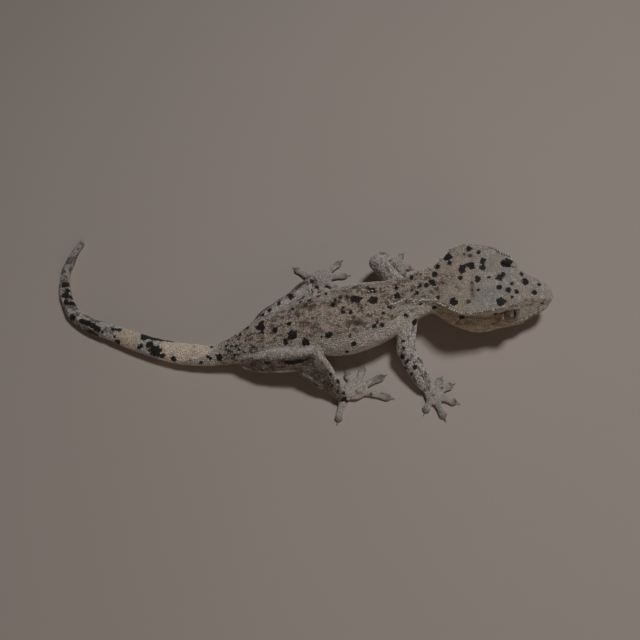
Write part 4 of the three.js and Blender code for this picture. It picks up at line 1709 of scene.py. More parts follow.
    # Brown marks, and painted shade under the neck's crest and the brow's edge, behind and above the eyes,
    # below the thigh's root and at the toes' lifted tips.
    brown_and_shade_washes: Pairs = (
        (471.7, 283, 472.2, 296.5, 2, 0.55), (467.5, 302.5, 470.5, 300, 1.3, 0.55),
        (457.5, 255, 471.7, 256.7, 1.6, 0.35), (442, 281, 446, 284, 2.2, 0.42),
        (436, 290, 440, 293, 2.6, 0.3), (457.5, 287, 461, 290, 1.8, 0.28),
        (491.7, 248.6, 514, 251.8, 1.5, 0.8), (493, 316.5, 499, 320, 2.8, 0.62),
        (466, 317.2, 480, 317.8, 1.5, 0.62), (480, 317.8, 494, 316.5, 1.5, 0.66),
        (521, 306.2, 531, 304.6, 0.9, 0.6), (496.5, 314.6, 507.5, 311.2, 1.4, 0.85),
        (507.5, 311.2, 520.5, 307.2, 1.2, 0.8), (500.5, 284.5, 506, 295, 2.2, 0.14),
        (400, 290.5, 425, 293.5, 2, 0.3), (385, 283, 410, 277.5, 1.4, 0.45), (375, 314, 345, 323, 1.6, 0.35),
        (350, 322, 360, 325, 2.4, 0.35), (262, 361.5, 288, 362, 1.5, 0.75), (287, 362, 312, 356, 1.8, 0.92),
        (357, 393, 362.5, 393.6, 1.1, 0.6), (382, 393.5, 395, 398, 2, 0.55),
        (375.5, 380, 383.5, 375.5, 3, 0.45), (357.5, 369.5, 364.5, 364, 2.6, 0.4),
        (335.3, 417, 334.9, 426, 1, 0.85), (343.8, 369, 344.9, 375.5, 1.1, 0.85),
        (422.5, 408.5, 423.3, 416.5, 1.1, 0.8), (440.6, 412.3, 446.2, 421.5, 1.4, 0.8),
        (455.5, 401.5, 461.5, 404, 1.6, 0.75), (450.5, 383, 456.5, 382.5, 1.7, 0.7),
        (427.5, 387.5, 426.6, 380.4, 1.6, 0.35), (243, 361.5, 262, 360.5, 2.2, 0.6),
        (400, 304, 422, 300.5, 1.2, 0.6), (422, 300.5, 440, 305.5, 1.2, 0.6),
        (440, 305.5, 448, 310.5, 1.2, 0.5), (448, 310.5, 467, 318, 1.2, 0.4),
        (297, 307, 314, 306.5, 3.2, 0.66), (353, 322.5, 360, 323, 3.2, 0.66),
        (382, 297, 386, 301, 2.4, 0.45), (330, 303, 336, 300, 2.4, 0.35),
    )
    pale_washes: Pairs = (
        (505, 322.8, 512.5, 322.8, 1.2, 0.95), (512.5, 322.8, 518, 319.6, 1.2, 0.85),
        (497, 327, 512, 327.2, 1.4, 0.5), (512, 327.2, 531, 318.8, 1.4, 0.5),
        (266, 371, 300, 371.5, 1.6, 0.85), (300, 371.5, 314, 380, 1.6, 0.85),
        (314, 380, 334, 399, 1.6, 0.85), (318, 349, 338, 385, 1.8, 0.8), (300, 291.5, 340, 287, 2.2, 0.7),
        (340, 287, 388, 281, 2.2, 0.7), (478, 327.5, 497, 327, 1.4, 0.35),
    )
    trunk_growth: float = 1.14
    seed: int = 11
    spacing: float = 3.4
    lobes: float = 0.55
    jags: float = 0.22
    slant: float = 0.45

    def cast(self, tree: BVHTree, camera: PhotoCamera, px: float, py: float) -> tuple[Vec, float] | None:
        """Where a pixel's ray meets the skin, and the millimetres that a pixel spans there.

        Args:
            tree: the skin's faces.
            camera: the photograph's camera.
            px: the pixel's column.
            py: its row.

        Returns:
            The place and the span, or None off the skin.
        """
        start = np.array(camera.position)
        hit = tree.ray_cast(Vector(start), Vector(camera.ray(px, py)))[0]
        if hit is None:
            return None
        point = np.array(hit)
        return point, (point - start) @ camera.axes()[2] / camera.focal

    def seen_spots(self, tree: BVHTree, camera: PhotoCamera, rows: Pairs) -> list[Spot]:
        """Spots and streaks on the skin, as two ends and a radius in millimetres.

        Args:
            tree: the skin's faces.
            camera: the photograph's camera.
            rows: the marks' rows.

        Returns:
            The marks that meet the skin.
        """
        found = []
        for row in rows:
            *ends, radius = row
            hits = [self.cast(tree, camera, *ends[i : i + 2]) for i in range(0, len(ends), 2)]
            hits = [hit for hit in hits if hit]
            if hits:
                found.append((hits[0][0], hits[-1][0], radius * hits[0][1]))
        return found

    def unseen_spots(self, skin: Skin, camera: PhotoCamera) -> list[Spot]:
        """A seeded scatter of spots where the camera doesn't look.

        Args:
            skin: the finished skin.
            camera: the photograph's camera.

        Returns:
            Marks like those of seen_spots.
        """
        rng = np.random.default_rng(self.seed)
        view = unit(np.array(camera.position) - skin.points)
        facing = (skin.normals * view).sum(1)
        part = skin.places.part
        wanted = (facing < -0.05) & (skin.normals[:, 2] > -0.45) & (skin.points[:, 2] > 1.2)
        wanted &= (part != Part.TOE) & (part != Part.FOOT)
        seen = np.nonzero(facing > 0.02)[0]
        near = indexed(skin.points, seen)
        ids = rng.permutation(np.nonzero(wanted)[0])
        kept: list[Spot] = []
        centres = np.zeros((0, 3))
        for i in ids:
            point = skin.points[i]
            gap = np.linalg.norm(centres - point, axis=1).min() if len(centres) else math.inf
            if len(centres) and gap < self.spacing * rng.uniform(0.7, 1.5):
                continue
            radius = float(np.clip(rng.lognormal(-0.72, 0.42), 0.25, 1.1))
            if part[i] in (Part.UPPER, Part.LOWER):
                radius *= 0.6
            if near.find(point)[2] < 1.7 * radius + 0.3:
                continue
            centres = np.concatenate([centres, point[None]])
            kept.append((point, point + rng.normal(0, 0.35 * radius, 3), radius))
        return kept

    def depth_inside(self, points: Vec, spots: Sequence[Spot], view: Vec | None) -> Vec:
        """How far inside the nearest spot's ragged edge each point lies.

        Args:
            points: the skin's points.
            spots: two ends and a radius for each spot.
            view: where the spots were seen from, which lengthens those on a surface seen aslant.

        Returns:
            Depths in millimetres, below zero outside every spot.
        """
        best = np.full(len(points), -3.0)
        coarse = wobble(points, 1.15)
        jagged = wobble(points, 2.9, 7.0)
        for start, end, radius in spots:
            apart = from_line(points, start, end)
            away = np.linalg.norm(apart, axis=1)
            if view is not None:
                sight = unit(start - view)
                away = np.sqrt(np.maximum(away**2 - (1 - self.slant**2) * (apart @ sight) ** 2, 0.0))
            near = np.nonzero(away < radius + 2.0)[0]
            ragged = radius * (1.0 + self.lobes * coarse[near] + self.jags * jagged[near])
            best[near] = np.maximum(best[near], ragged - away[near])
        return best

    def washes(self, tree: BVHTree, camera: PhotoCamera, points: Vec, rows: Pairs) -> Vec:
        """How strongly a colour is washed over each point, from 0 to 1.

        Args:
            tree: the skin's faces.
            camera: the photograph's camera.
            points: the points.
            rows: the marks' rows.

        Returns:
            Strengths.
        """
        found = np.zeros(len(points))
        for *ends, radius, strength in rows:
            for start, end, wide in self.seen_spots(tree, camera, [(*ends, radius)]):
                away = np.linalg.norm(from_line(points, start, end), axis=1)
                found = np.maximum(found, strength * np.exp(-((away / wide) ** 2)))
        return found

    def grain_places(self, skin: Skin) -> Values:
        """Each point's place along its part and across it, in millimetres, for marks that run lengthwise.

        Args:
            skin: the finished skin.

        Returns:
            Three places, by name.
        """
        part, along, angle = skin.places.part, skin.places.along, skin.places.angle
        girth = np.where(part == Part.BODY, 3.0 + 2.5 * smooth(along, 12.0, 15.0), 2.4)
        length = np.where(part == Part.BODY, 6.0, np.where(part == Part.TOE, 5.0, 9.0))
        local = skin.head.local(skin.points)
        head = part == Part.HEAD
        return {
            "run": np.where(head, local[:, 0], along * length + 31.0 * skin.places.leg + 7.0 * part),
            "off_left": np.where(head, local[:, 1], girth * np.cos(angle)),
            "off_up": np.where(head, local[:, 2], girth * np.sin(angle)),
        }

    def read(self, skin: Skin, camera: PhotoCamera) -> Values:
        """Every number that the finish reads, for each point of the skin.

        Args:
            skin: the finished skin.
            camera: the photograph's camera.

        Returns:
            The numbers, by name.
        """
        tree = skin.tree()
        trunk = [(px, py, radius * self.trunk_growth) for px, py, radius in self.trunk_spots]
        rows = [*self.head_spots, *trunk, *self.tail_spots, *self.streaks]
        view = np.array(camera.position)
        seen, unseen = self.seen_spots(tree, camera, rows), self.unseen_spots(skin, camera)
        umber = self.seen_spots(tree, camera, self.brown_spots)
        values = {**Tints(skin).all(), **self.grain_places(skin)}
        pale = self.washes(tree, camera, skin.points, self.pale_washes)
        # brown marks and painted shade
        brown = self.washes(tree, camera, skin.points, self.brown_and_shade_washes)
        # painted shade and brown marks, taken off where the pale marks lie
        values["brown_and_shade_wash"] = np.maximum(values["brown_and_shade_wash"], brown) * (1 - pale)
        values["bright"] = np.maximum(values["bright"], pale)
        ink = self.depth_inside(skin.points, seen, view), self.depth_inside(skin.points, unseen, None)
        values["ink"] = np.maximum(*ink)
        values["umber"] = self.depth_inside(skin.points, umber, view)
        values["tooth"] = np.zeros(len(skin.points))
        values["tint"] = np.full(len(skin.points), 0.5)
        return values


def finish_piece(obj: Object, slot: str, *nodes: str) -> Object:
    """Ties a piece to the frame.

    Args:
        obj: the piece.
        slot: the kind of finish meant for it; not used.
        nodes: the solids that it stands for.

    Returns:
        The piece.
    """
    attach(obj, BODY_NAME)
    if nodes:
        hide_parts(*nodes)
    return obj


def peaked(outline: Vec, rings: Pairs, tip: Sequence[float]) -> Vec:
    """The points of a small peaked shape, ring by ring and its tip last.

    Args:
        outline: the shape's outline.
        rings: each ring's width, as a share of the outline's, and its height.
        tip: the tip's place.

    Returns:
        The points.
    """
    levels = [np.column_stack([outline * wide, np.full(len(outline), high)]) for wide, high in rings]
    return np.concatenate([*levels, [tip]])


def peak_faces(sides: int, rings: int) -> tuple[Vec, Vec]:
    """The faces of a shape whose points are given ring by ring and its tip last.

    Args:
        sides: points of each ring.
        rings: number of rings.

    Returns:
        The quads between rings, and the triangles up to the tip.
    """
    near = np.arange(sides)
    far = np.roll(near, -1)
    level = np.stack([near, far, far + sides, near + sides], -1)
    top = sides * (rings - 1)
    tip = np.full(sides, sides * rings)
    quads = np.concatenate([level + sides * k for k in range(rings - 1)])
    return quads, np.stack([near + top, far + top, tip], -1)


def stand(root: Vec, ahead: Vec, across: Vec, out: Vec, shape: Vec) -> Vec:
    """Stands a shape on each root.

    Args:
        root: the roots.
        ahead: the way at each root that the shape's first size runs.
        across: the way of its second size.
        out: the way of its third size.
        shape: the shape's points, one set for all roots or a set for each.

    Returns:
        Points shaped (roots, points, 3).
    """
    cloud = root[:, None] + shape[..., :1] * ahead[:, None] + shape[..., 1:2] * across[:, None]
    return cloud + shape[..., 2:] * out[:, None]


def grid_cells(count: int, columns: int) -> Vec:
    """The middles of a square grid's first cells, each as a copy's place on an unwrap."""
    ids = np.arange(count)
    return (np.stack([ids % columns, ids // columns], -1)[:, None] + 0.5) / columns


def add_copies(name: str, cloud: Vec, sides: int, unwrap: Vec, values: Values, finish: Material) -> Object:
    """Makes one piece of the coat from many copies of a peaked shape.

    Args:
        name: the piece's name.
        cloud: the copies' points in the frame, shaped (copies, points, 3).
        sides: points of each ring of the shape.
        unwrap: each point's place on the unwrap, shaped (copies, points, 2).
        values: what the finish reads, shaped (copies, 1) or (copies, points).
        finish: the material.

    Returns:
        The piece.
    """
    copies, count = cloud.shape[:2]
    base = (np.arange(copies) * count)[:, None, None]
    faces = [(kind[None] + base).reshape(-1, kind.shape[1]) for kind in peak_faces(sides, count // sides)]
    mesh = make_mesh(name, cloud.reshape(-1, 3), faces)
    carry(mesh, {key: np.broadcast_to(value, (copies, count)).ravel() for key, value in values.items()})
    layer = mesh.uv_layers.new(name="OFBake")
    loops = read_rows(mesh.loops, "vertex_index", 1, int)[:, 0]
    layer.data.foreach_set("uv", np.ascontiguousarray(unwrap.reshape(-1, 2)[loops], np.float32).ravel())
    return finish_piece(add_object(name, mesh, finish), "skin")


@dataclass
class Scales:
    """Granular scales, scattered over the skin and joined into a few pieces.

    Attributes:
        spacing: distance between neighbours on each part, in millimetres.
        spread: a scale's half width as a share of the spacing.
        lift: a scale's height as a share of its half width.
        crowding: how many candidates are tried for each scale.
        longer: a scale's length as a share of its size.
        narrower: its width as a share of its size.
        tilt: how far its rear edge dips, as a share of its length.
        sides: points of its outline.
        rings: width and height of its foot and its brow, for size 1.
        tip: its top, for size 1.
        uneven: how much neighbours differ in lightness, on the parts that differ from the rest.
        spans: where each piece starts along its part, and its length there.
        foot_span: width of a foot's place on the unwrap, in millimetres.
    """

    spacing: dict[Part, float] = field(default_factory=lambda: {
        Part.BODY: 0.39, Part.HEAD: 0.33, Part.UPPER: 0.38,
        Part.LOWER: 0.37, Part.FOOT: 0.29, Part.TOE: 0.25,
    })
    spread: float = 0.57
    lift: float = 0.50
    crowding: float = 7.0
    longer: float = 1.12
    narrower: float = 0.98
    tilt: float = 0.10
    sides: int = 6
    rings: Pairs = ((1.0, -0.35), (0.70, 0.66))
    tip: Triple = (0.08, 0.0, 1.0)
    uneven: dict[Part, float] = field(default_factory=lambda: {
        Part.HEAD: 0.2, Part.TOE: 0.13, Part.FOOT: 0.18,
    })
    uneven_tail: float = 0.17
    uneven_rest: float = 0.24
    spans: dict[CoatPiece, tuple[float, float]] = field(default_factory=lambda: {
        CoatPiece.HEAD: (-6.0, 26.1), CoatPiece.NECK: (16.8, 4.1),
        CoatPiece.TRUNK: (11.4, 5.4), CoatPiece.TAIL: (0.0, 11.4),
    })
    foot_span: float = 18.0
    seed: int = 5

    def spacings(self, skin: Skin) -> Vec:
        """The distance between scales at each point of the skin.

        Args:
            skin: the finished skin.

        Returns:
            Millimetres.
        """
        found = np.zeros(len(skin.points))
        for part, value in self.spacing.items():
            found[skin.places.part == part] = value
        tail = (skin.places.part == Part.BODY) & (skin.places.along < 11.4)
        found[tail] = 0.36
        for eye in skin.eyes:
            away = np.linalg.norm(skin.points - eye.centre(skin.head), axis=1) - eye.radius
            found = np.minimum(found, 0.24 + 0.12 * np.clip(away / 2.0, 0, 2))
        return skin.relax(found[:, None], np.full(len(found), 0.8), 4)[:, 0]

    def scatter(self, skin: Skin) -> tuple[Vec, Vec, Vec]:
        """Picks the scales' roots.

        Returns:
            The triangle's points of each root, its shares of them, and its spacing.

        Args:
            skin: the finished skin.
        """
        rng = np.random.default_rng(self.seed)
        triangles = skin.triangles()
        corners = skin.points[triangles]
        first, second = corners[:, 1] - corners[:, 0], corners[:, 2] - corners[:, 0]
        area = np.linalg.norm(np.cross(first, second), axis=1) / 2
        spacing = self.spacings(skin)
        expected = area / spacing[triangles].mean(1) ** 2 * self.crowding
        hidden = self.behind_eyes(skin, corners.mean(1))
        expected[hidden] = 0
        count = rng.poisson(expected)
        owner = np.repeat(np.arange(len(triangles)), count)
        share = rng.dirichlet((1, 1, 1), len(owner))
        place = (corners[owner] * share[..., None]).sum(1)
        reach = (spacing[triangles[owner]] * share).sum(1)
        order = rng.permutation(len(owner))
        tree = indexed(place, order)
        free = np.ones(len(owner), bool)
        kept = []
        for i in order:
            if free[i]:
                kept.append(i)
                for _, other, _ in tree.find_range(place[i], reach[i] * 0.86):
                    free[other] = False
        kept = np.array(kept)
        return triangles[owner[kept]], share[kept], reach[kept]

    def behind_eyes(self, skin: Skin, middles: Vec) -> Vec:
        """Which triangles lie inside an eyeball or its lids' edge, or under the soles.

        Args:
            skin: the finished skin.
            middles: the triangles' middles.

        Returns:
            True where no scale goes.
        """
        hidden = middles[:, 2] < 0.06
        for eye in skin.eyes:
            away = np.linalg.norm(middles - eye.centre(skin.head), axis=1)
            hidden |= away < eye.radius + 0.04
        along, _, height = skin.head.local(middles).T
        off = np.abs(height - skin.mouth_line(along))
        return hidden | ((np.abs(off - LipScales.offset) < 0.22) & (along > LipScales.back))

    def shape(self) -> Vec:
        """A low dome's points for size 1."""
        turn = np.arange(self.sides) * 2 * math.pi / self.sides
        return peaked(np.stack([np.cos(turn), np.sin(turn)], -1), self.rings, self.tip)

    def unevenness(self, places: Places) -> Vec:
        """How much neighbouring scales differ in lightness on each part."""
        choices = [places.part == part for part in self.uneven]
        found = np.select(choices, list(self.uneven.values()), self.uneven_rest)
        return np.where((places.part == Part.BODY) & (places.along < 11.5), self.uneven_tail, found)

    def sort(self, places: Places) -> dict[CoatPiece, Vec]:
        """Which scales go into which piece.

        Args:
            places: what the points stand for.

        Returns:
            For each piece, which scales it takes.
        """
        part, along = places.part, places.along
        legs = (part == Part.UPPER) | (part == Part.LOWER)
        return {
            CoatPiece.HEAD: part == Part.HEAD,
            CoatPiece.NECK: (part == Part.BODY) & (along >= 16.8),
            CoatPiece.TRUNK: (part == Part.BODY) & (along >= 11.4) & (along < 16.8),
            CoatPiece.TAIL: (part == Part.BODY) & (along < 11.4),
            CoatPiece.LEGS: legs,
            CoatPiece.FEET: (part == Part.FOOT) | (part == Part.TOE),
        }

    def unwrap(self, piece: CoatPiece, places: Places, points: Vec, legs: Sequence[LegForm]) -> Vec:
        """Each root's place on an unwrap of the skin's own shape, from 0 to 1.

        Args:
            piece: the piece.
            places: what the points stand for.
            points: the roots.
            legs: the legs' forms.

        Returns:
            Places, shaped (roots, 2).
        """
        across = places.angle / (2 * math.pi) + 0.5
        if piece in self.spans:
            start, length = self.spans[piece]
            flat = np.stack([(places.along - start) / length, across], -1)
        elif piece is CoatPiece.LEGS:
            strip = places.leg * 2 + (places.part == Part.LOWER)
            flat = np.stack([places.along, (strip + 0.04 + 0.92 * across) / 8], -1)
        else:
            palms = np.array([leg.palm for leg in legs])[places.leg]
            near = 0.03 + 0.94 * np.clip((points[:, :2] - palms) / self.foot_span + 0.5, 0, 1)
            under = (points[:, 2] < 0.45).astype(float)
            flat = (near + np.stack([places.leg, under], -1)) / np.array([4, 2])
        return 0.01 + 0.98 * np.clip(flat, 0, 1)

    def build(self, skin: Skin, values: Values, plan: Plan, finish: Material) -> list[Object]:
        """Makes every piece of the coat.

        Args:
            skin: the skin that carries it.
            values: what the finish reads at each point of the skin.
            plan: the plan's place in the frame.
            finish: the scales' material.

        Returns:
            The pieces.
        """
        rng = np.random.default_rng(self.seed + 1)
        corner, share, reach = self.scatter(skin)
        mix = share[..., None]
        root = (skin.points[corner] * mix).sum(1)
        normal = unit((skin.normals[corner] * mix).sum(1))
        places = skin.places.take(corner[np.arange(len(corner)), share.argmax(1)])
        carried = {name: (value[corner] * share).sum(1) for name, value in values.items()}
        carried["tint"] = np.clip(0.5 + self.unevenness(places) * rng.normal(0, 1, len(root)), 0, 1)
        lie = unit(places.lie - normal * (places.lie * normal).sum(1, keepdims=True))
        half = reach * self.spread * rng.uniform(0.86, 1.1, len(root))
        shape = self.shape()
        size = half[:, None] * np.array([self.longer, self.narrower, self.lift])
        local = shape[None] * size[:, None]
        local[..., 2] -= self.tilt * local[..., 0]
        cloud = stand(root, lie, np.cross(normal, lie), normal, local)
        cloud[..., 2] = np.maximum(cloud[..., 2], 0.0)
        built = []
        for piece, members in self.sort(places).items():
            ids = np.nonzero(members)[0]
            flat = self.unwrap(piece, places.take(ids), root[ids], skin.legs)
            flat = flat[:, None] + shape[:, :2] * PATCH / 2
            own = {name: value[ids, None] for name, value in carried.items()}
            built.append(add_copies(piece.value, plan.to_frame(cloud[ids]), self.sides, flat, own, finish))
        return built


@dataclass
class LipScales:
    """The flat plates in a row along each lip."""

    offset: float = 0.46
    back: float = 3.6
    front: float = 18.6
    length: float = 1.05
    half_tall: float = 0.31
    thick: float = 0.15
    sides: int = 12
    square: float = 4.5
    stagger: float = 0.5
    outside: float = 14.0
    ink_cut: float = 0.4
    columns: int = 12
    seed: int = 9

    def shape(self) -> Vec:
        """A plate's points for size 1: two rings and the middle."""
        turn = (np.arange(self.sides) + 0.5) * 2 * math.pi / self.sides
        flat = np.stack([squared(np.cos(turn), self.square), squared(np.sin(turn), self.square)], -1)
        return peaked(flat, ((1.0, -0.3), (0.84, 0.75)), (0.0, 0.0, 1.0))

    def roots(self, skin: Skin) -> tuple[Vec, Vec, Vec]:
        """Finds the plates' places on the lips.

        Args:
            skin: the skin that carries them.

        Returns:
            The roots, the skin's way out there, and the nearest points' numbers.
        """
        tree, triangles = skin.tree(), skin.triangles()
        left = skin.head.axes()[1]
        found = []
        for side, row in ((-1, -1), (-1, 1), (1, -1), (1, 1)):
            front = self.front - self.stagger * (row > 0)
            for along in np.arange(front, self.back, -self.length):
                height = skin.mouth_line(along) + row * self.offset
                start = skin.head.place(along, side * self.outside, height)
                hit, out, face, _ = tree.ray_cast(Vector(start), Vector(-side * left))
                if hit is not None:
                    found.append((np.array(hit), np.array(out), triangles[face][0]))
        root, out, owner = zip(*found)
        return np.array(root), unit(np.array(out)), np.array(owner)

    def build(self, skin: Skin, values: Values, plan: Plan, finish: Material) -> Object:
        """Makes the plates of both lips on both sides as one piece.

        Args:
            skin: the skin that carries them.
            values: what the finish reads at each point of the skin.
            plan: the plan's place in the frame.
            finish: the scales' material.

        Returns:
            The piece.
        """
        forward = skin.head.axes()[0]
        root, normal, owner = self.roots(skin)
        ahead = unit(forward - normal * (normal @ forward)[:, None])
        shape = self.shape()
        sized = shape * np.array([self.length * 0.5, self.half_tall, self.thick])
        cloud = stand(root, ahead, np.cross(normal, ahead), normal, sized)
        carried = {name: value[owner, None] for name, value in values.items()}
        carried["tint"] = np.random.default_rng(self.seed).uniform(0.35, 0.65, len(root))[:, None]
        carried["ink"] = carried["ink"] - self.ink_cut
        flat = grid_cells(len(root), self.columns) + shape[:, :2] * PATCH / 2
        return add_copies("lip_scales", plan.to_frame(cloud), self.sides, flat, carried, finish)


@dataclass
class CrestFringe:
    """The spiny scales along the brow, the temple, the neck and the shoulders."""

    brow_front: float = 12.4
    nape: float = -5.6
    step: float = 0.46
    body_step: float = 0.115
    body_path: Pairs = (
        (19.6, 140), (18.9, 128), (18.35, 120), (17.7, 109), (17.2, 107), (16.5, 111), (15.5, 108),
    )
    rings: Pairs = ((1.0, -0.25), (0.78, 0.25), (0.42, 0.65))
    whiteness: tuple[float, ...] = (0.15, 0.6, 0.95, 1.0)
    sides: int = 6
    columns: int = 40
    seed: int = 3

    def on_head(self, head: HeadForm, side: int) -> tuple[Vec, Vec, Vec, Vec]:
        """Places the spines of one side of the head.

        Args:
            head: the head's form.
            side: 1 for the left, -1 for the right.

        Returns:
            Roots, ways out, lengths, and how likely each spine is brown.
        """
        along = np.arange(self.brow_front, self.nape, -self.step)
        wide, high = head.lines["crest_width"](along), head.lines["crest_height"](along)
        root = head.place(along, side * (wide - 0.15), high - 0.1)
        ahead, left, up = head.axes()
        back = smooth(along, 6.0, -3.0)[:, None]
        way = side * left * (1 - 0.25 * back) + up * (0.34 + 0.15 * back) - ahead * (0.25 + 0.75 * back)
        length = 0.34 + 0.12 * bump(along, 10.0, 2.4) + 0.18 * smooth(along, 0.5, -2.0)
        if side > 0:
            length = length + 0.35 * bump(along, 9.5, 2.2)
        return root, unit(way), length, np.where(along > 0.3, 0.80, 0.12)

    def on_body(self, body: BodyForm, side: int) -> tuple[Vec, Vec, Vec, Vec]:
        """Places the spines of one side of neck and back.

        Args:
            body: the body's form.
            side: 1 for the left, -1 for the right.

        Returns:
            Roots, ways out, lengths, and how likely each spine is brown.
        """
        rows = np.array(self.body_path)
        station = np.arange(rows[0, 0], rows[-1, 0], -self.body_step)
        angle = np.radians(guide(rows[::-1])(station))
        angle = angle if side < 0 else math.pi - angle
        each = np.arange(len(station))
        inner, outer = (body.surface(station, angle, grow)[each, each] for grow in (-0.2, 0.8))
        _, ahead, _, _ = body.frames(station)
        way = unit(unit(outer - inner) - 0.9 * ahead)
        length = 0.30 + 0.30 * smooth(station, 16.2, 17.6)
        brown = np.where(station > 16.7, 0.12, 0.75) if side < 0 else np.full(len(station), 0.85)
        return inner, way, length, brown

    def build(self, skin: Skin, body: BodyForm, plan: Plan, finish: Material) -> Object:
        """Makes the fringe as one piece of small cones.

        Args:
            skin: the skin that carries it.
            body: the body's form.
            plan: the plan's place in the frame.
            finish: the scales' material.

        Returns:
            The piece.
        """
        rng = np.random.default_rng(self.seed)
        rows = []
        for side in (-1, 1):
            rows += [self.on_head(skin.head, side), self.on_body(body, side)]
        root, way, length, brown = (np.concatenate(column) for column in zip(*rows))
        tree = skin.tree()
        root = np.array([tree.find_nearest(Vector(p))[0] for p in root])
        length = length * rng.uniform(0.75, 1.2, len(root))
        way = unit(way + rng.normal(0, 0.12, way.shape))
        lie = unit(np.cross(way, np.array([0.0, 0.0, 1.0])))
        turn = np.arange(self.sides) * 2 * math.pi / self.sides
        shape = peaked(np.stack([np.cos(turn), np.sin(turn)], -1), self.rings, (0.0, 0.0, 1.0))
        radius = 0.10 + 0.16 * length
        size = np.stack([radius, radius, length], -1)[:, None]
        cloud = stand(root, lie, np.cross(way, lie), way, shape * size)
        dark = (rng.random(len(root)) < brown)[:, None]
        share = np.repeat(self.whiteness, [self.sides] * len(self.rings) + [1])
        values = {
            "tooth": np.where(dark, 0.0, share),
            "tint": rng.uniform(0.35, 1.0, len(root))[:, None],
            "umber": np.where(dark, 1.0, -3.0),
            "ink": np.full((len(root), 1), -3.0),
        }
        spot = (np.arange(len(share)) % self.sides - 3)[:, None] * PATCH / 12
        flat = grid_cells(len(root), self.columns) + spot
        return add_copies("crest_scales", plan.to_frame(cloud), self.sides, flat, values, finish)


@dataclass
class Eyeball:
    """An eyeball with a bulging cornea and an upright slit pupil."""

    place: EyePlace
    bulge: float = 0.05
    slit_half: float = 0.10
    slit_tall: float = 0.62
    rings: int = 72
    sides: int = 72

    def build(self, head: HeadForm, plan: Plan, finish: Material) -> Object:
        """Makes the eyeball and stores what its finish reads.

        Args:
            head: the head's form.
            plan: the plan's place in the frame.
            finish: the material.

        Returns:
            The piece.
        """
        name = "left" if self.place.side > 0 else "right"
        polar = np.linspace(0.012, math.pi - 0.012, self.rings)
        angle = around(self.sides)
        out = np.cos(polar)[:, None] * np.ones(self.sides)
        ahead = np.sin(polar)[:, None] * np.cos(angle)
        over = np.sin(polar)[:, None] * np.sin(angle)
        radius = self.place.radius * (1 + self.bulge * np.exp(-((polar / 0.62) ** 2)) - self.bulge * 0.6)
        axes = self.place.axes(head)
        spokes = ahead[..., None] * axes[0] + out[..., None] * axes[1] + over[..., None] * axes[2]
        rings = self.place.centre(head) + spokes * radius[:, None, None]
        tube = Tube(Part.HEAD, 0, rings, polar, angle, spokes[:, 0])
        mesh = make_mesh(f"eyeball_{name}", plan.to_frame(tube.points()), tube.faces())
        ahead, over = ahead.ravel(), over.ravel()
        beads = 0.35 * np.abs(np.sin(over * 17.0))
        narrow = np.sqrt(np.clip(1 - (over / self.slit_tall) ** 2, 0, 1))
        slit = self.slit_half * narrow * (0.8 + beads) - np.abs(ahead)
        slit = np.where(np.abs(over) > self.slit_tall, -0.5, slit)
        slit = np.where(out.ravel() < 0, -0.5, slit)
        rough = 0.5 + 0.5 * np.sin(np.arctan2(over, ahead) * 26.0)
        carry(mesh, {
            "slit": np.append(slit, [self.slit_half, -0.5]),
            "iris_spread": np.append(np.repeat(np.sin(np.minimum(polar, math.pi / 2)), self.sides), [0, 1]),
            "iris_turn": np.append(rough, [0.5, 0.5]),
        })
        return finish_piece(add_object(f"eyeball_{name}", mesh, finish), "eye", f"eye_{name}")


@dataclass
class Claws:
    """The claws of one foot: curved horn cones at the toes' tips."""

    leg: LegForm
    radius: float = 0.13
    reach: float = 0.50
    droop: float = 0.18
    rings: int = 9
    sides: int = 10

    def build(self, plan: Plan, finish: Material) -> Object:
        """Makes the foot's claws as one piece.

        Args:
            plan: the plan's place in the frame.
            finish: the material.

        Returns:
            The piece.
        """
        flesh = self.leg.flesh
        points, faces, shares, start = [], [], [], 0
        for index, tip in enumerate(self.leg.toes):
            ahead = unit(np.array(tip) - np.array(self.leg.toe_root(index)))
            ahead = np.array([ahead[0], ahead[1], 0.0])
            left = np.array([-ahead[1], ahead[0], 0.0])
            share = np.linspace(0, 1, self.rings)
            length = flesh.claw_length * self.reach + flesh.gap + 0.1
            first = np.array([*tip, flesh.toe_end + 0.04]) - ahead * (flesh.claw_length + flesh.gap + 0.1)
            middle = first + share[:, None] * length * ahead
            middle[:, 2] -= self.droop * share**2
            wide = self.radius * (1 - share) ** 0.75 + 0.012
            angle = around(self.sides)
            ring = np.cos(angle)[:, None] * left * 0.8 + np.sin(angle)[:, None] * np.array([0, 0, 1.1])
            rings = middle[:, None] + wide[:, None, None] * ring
            tube = Tube(Part.TOE, self.leg.number, rings, share, angle, np.repeat(ahead[None], self.rings, 0))
            points.append(tube.points())
            faces += [f + start for f in tube.faces()]
            shares.append(tube.spread(share))
            start += len(points[-1])
        name = f"claws_{self.leg.name}"
        mesh = make_mesh(name, plan.to_frame(np.concatenate(points)), faces)
        carry(mesh, {"length_share": np.concatenate(shares)})
        nodes = [f"claw_{self.leg.name}_{i + 1}" for i in range(len(self.leg.toes))]
        return finish_piece(add_object(name, mesh, finish), "claw", *nodes)


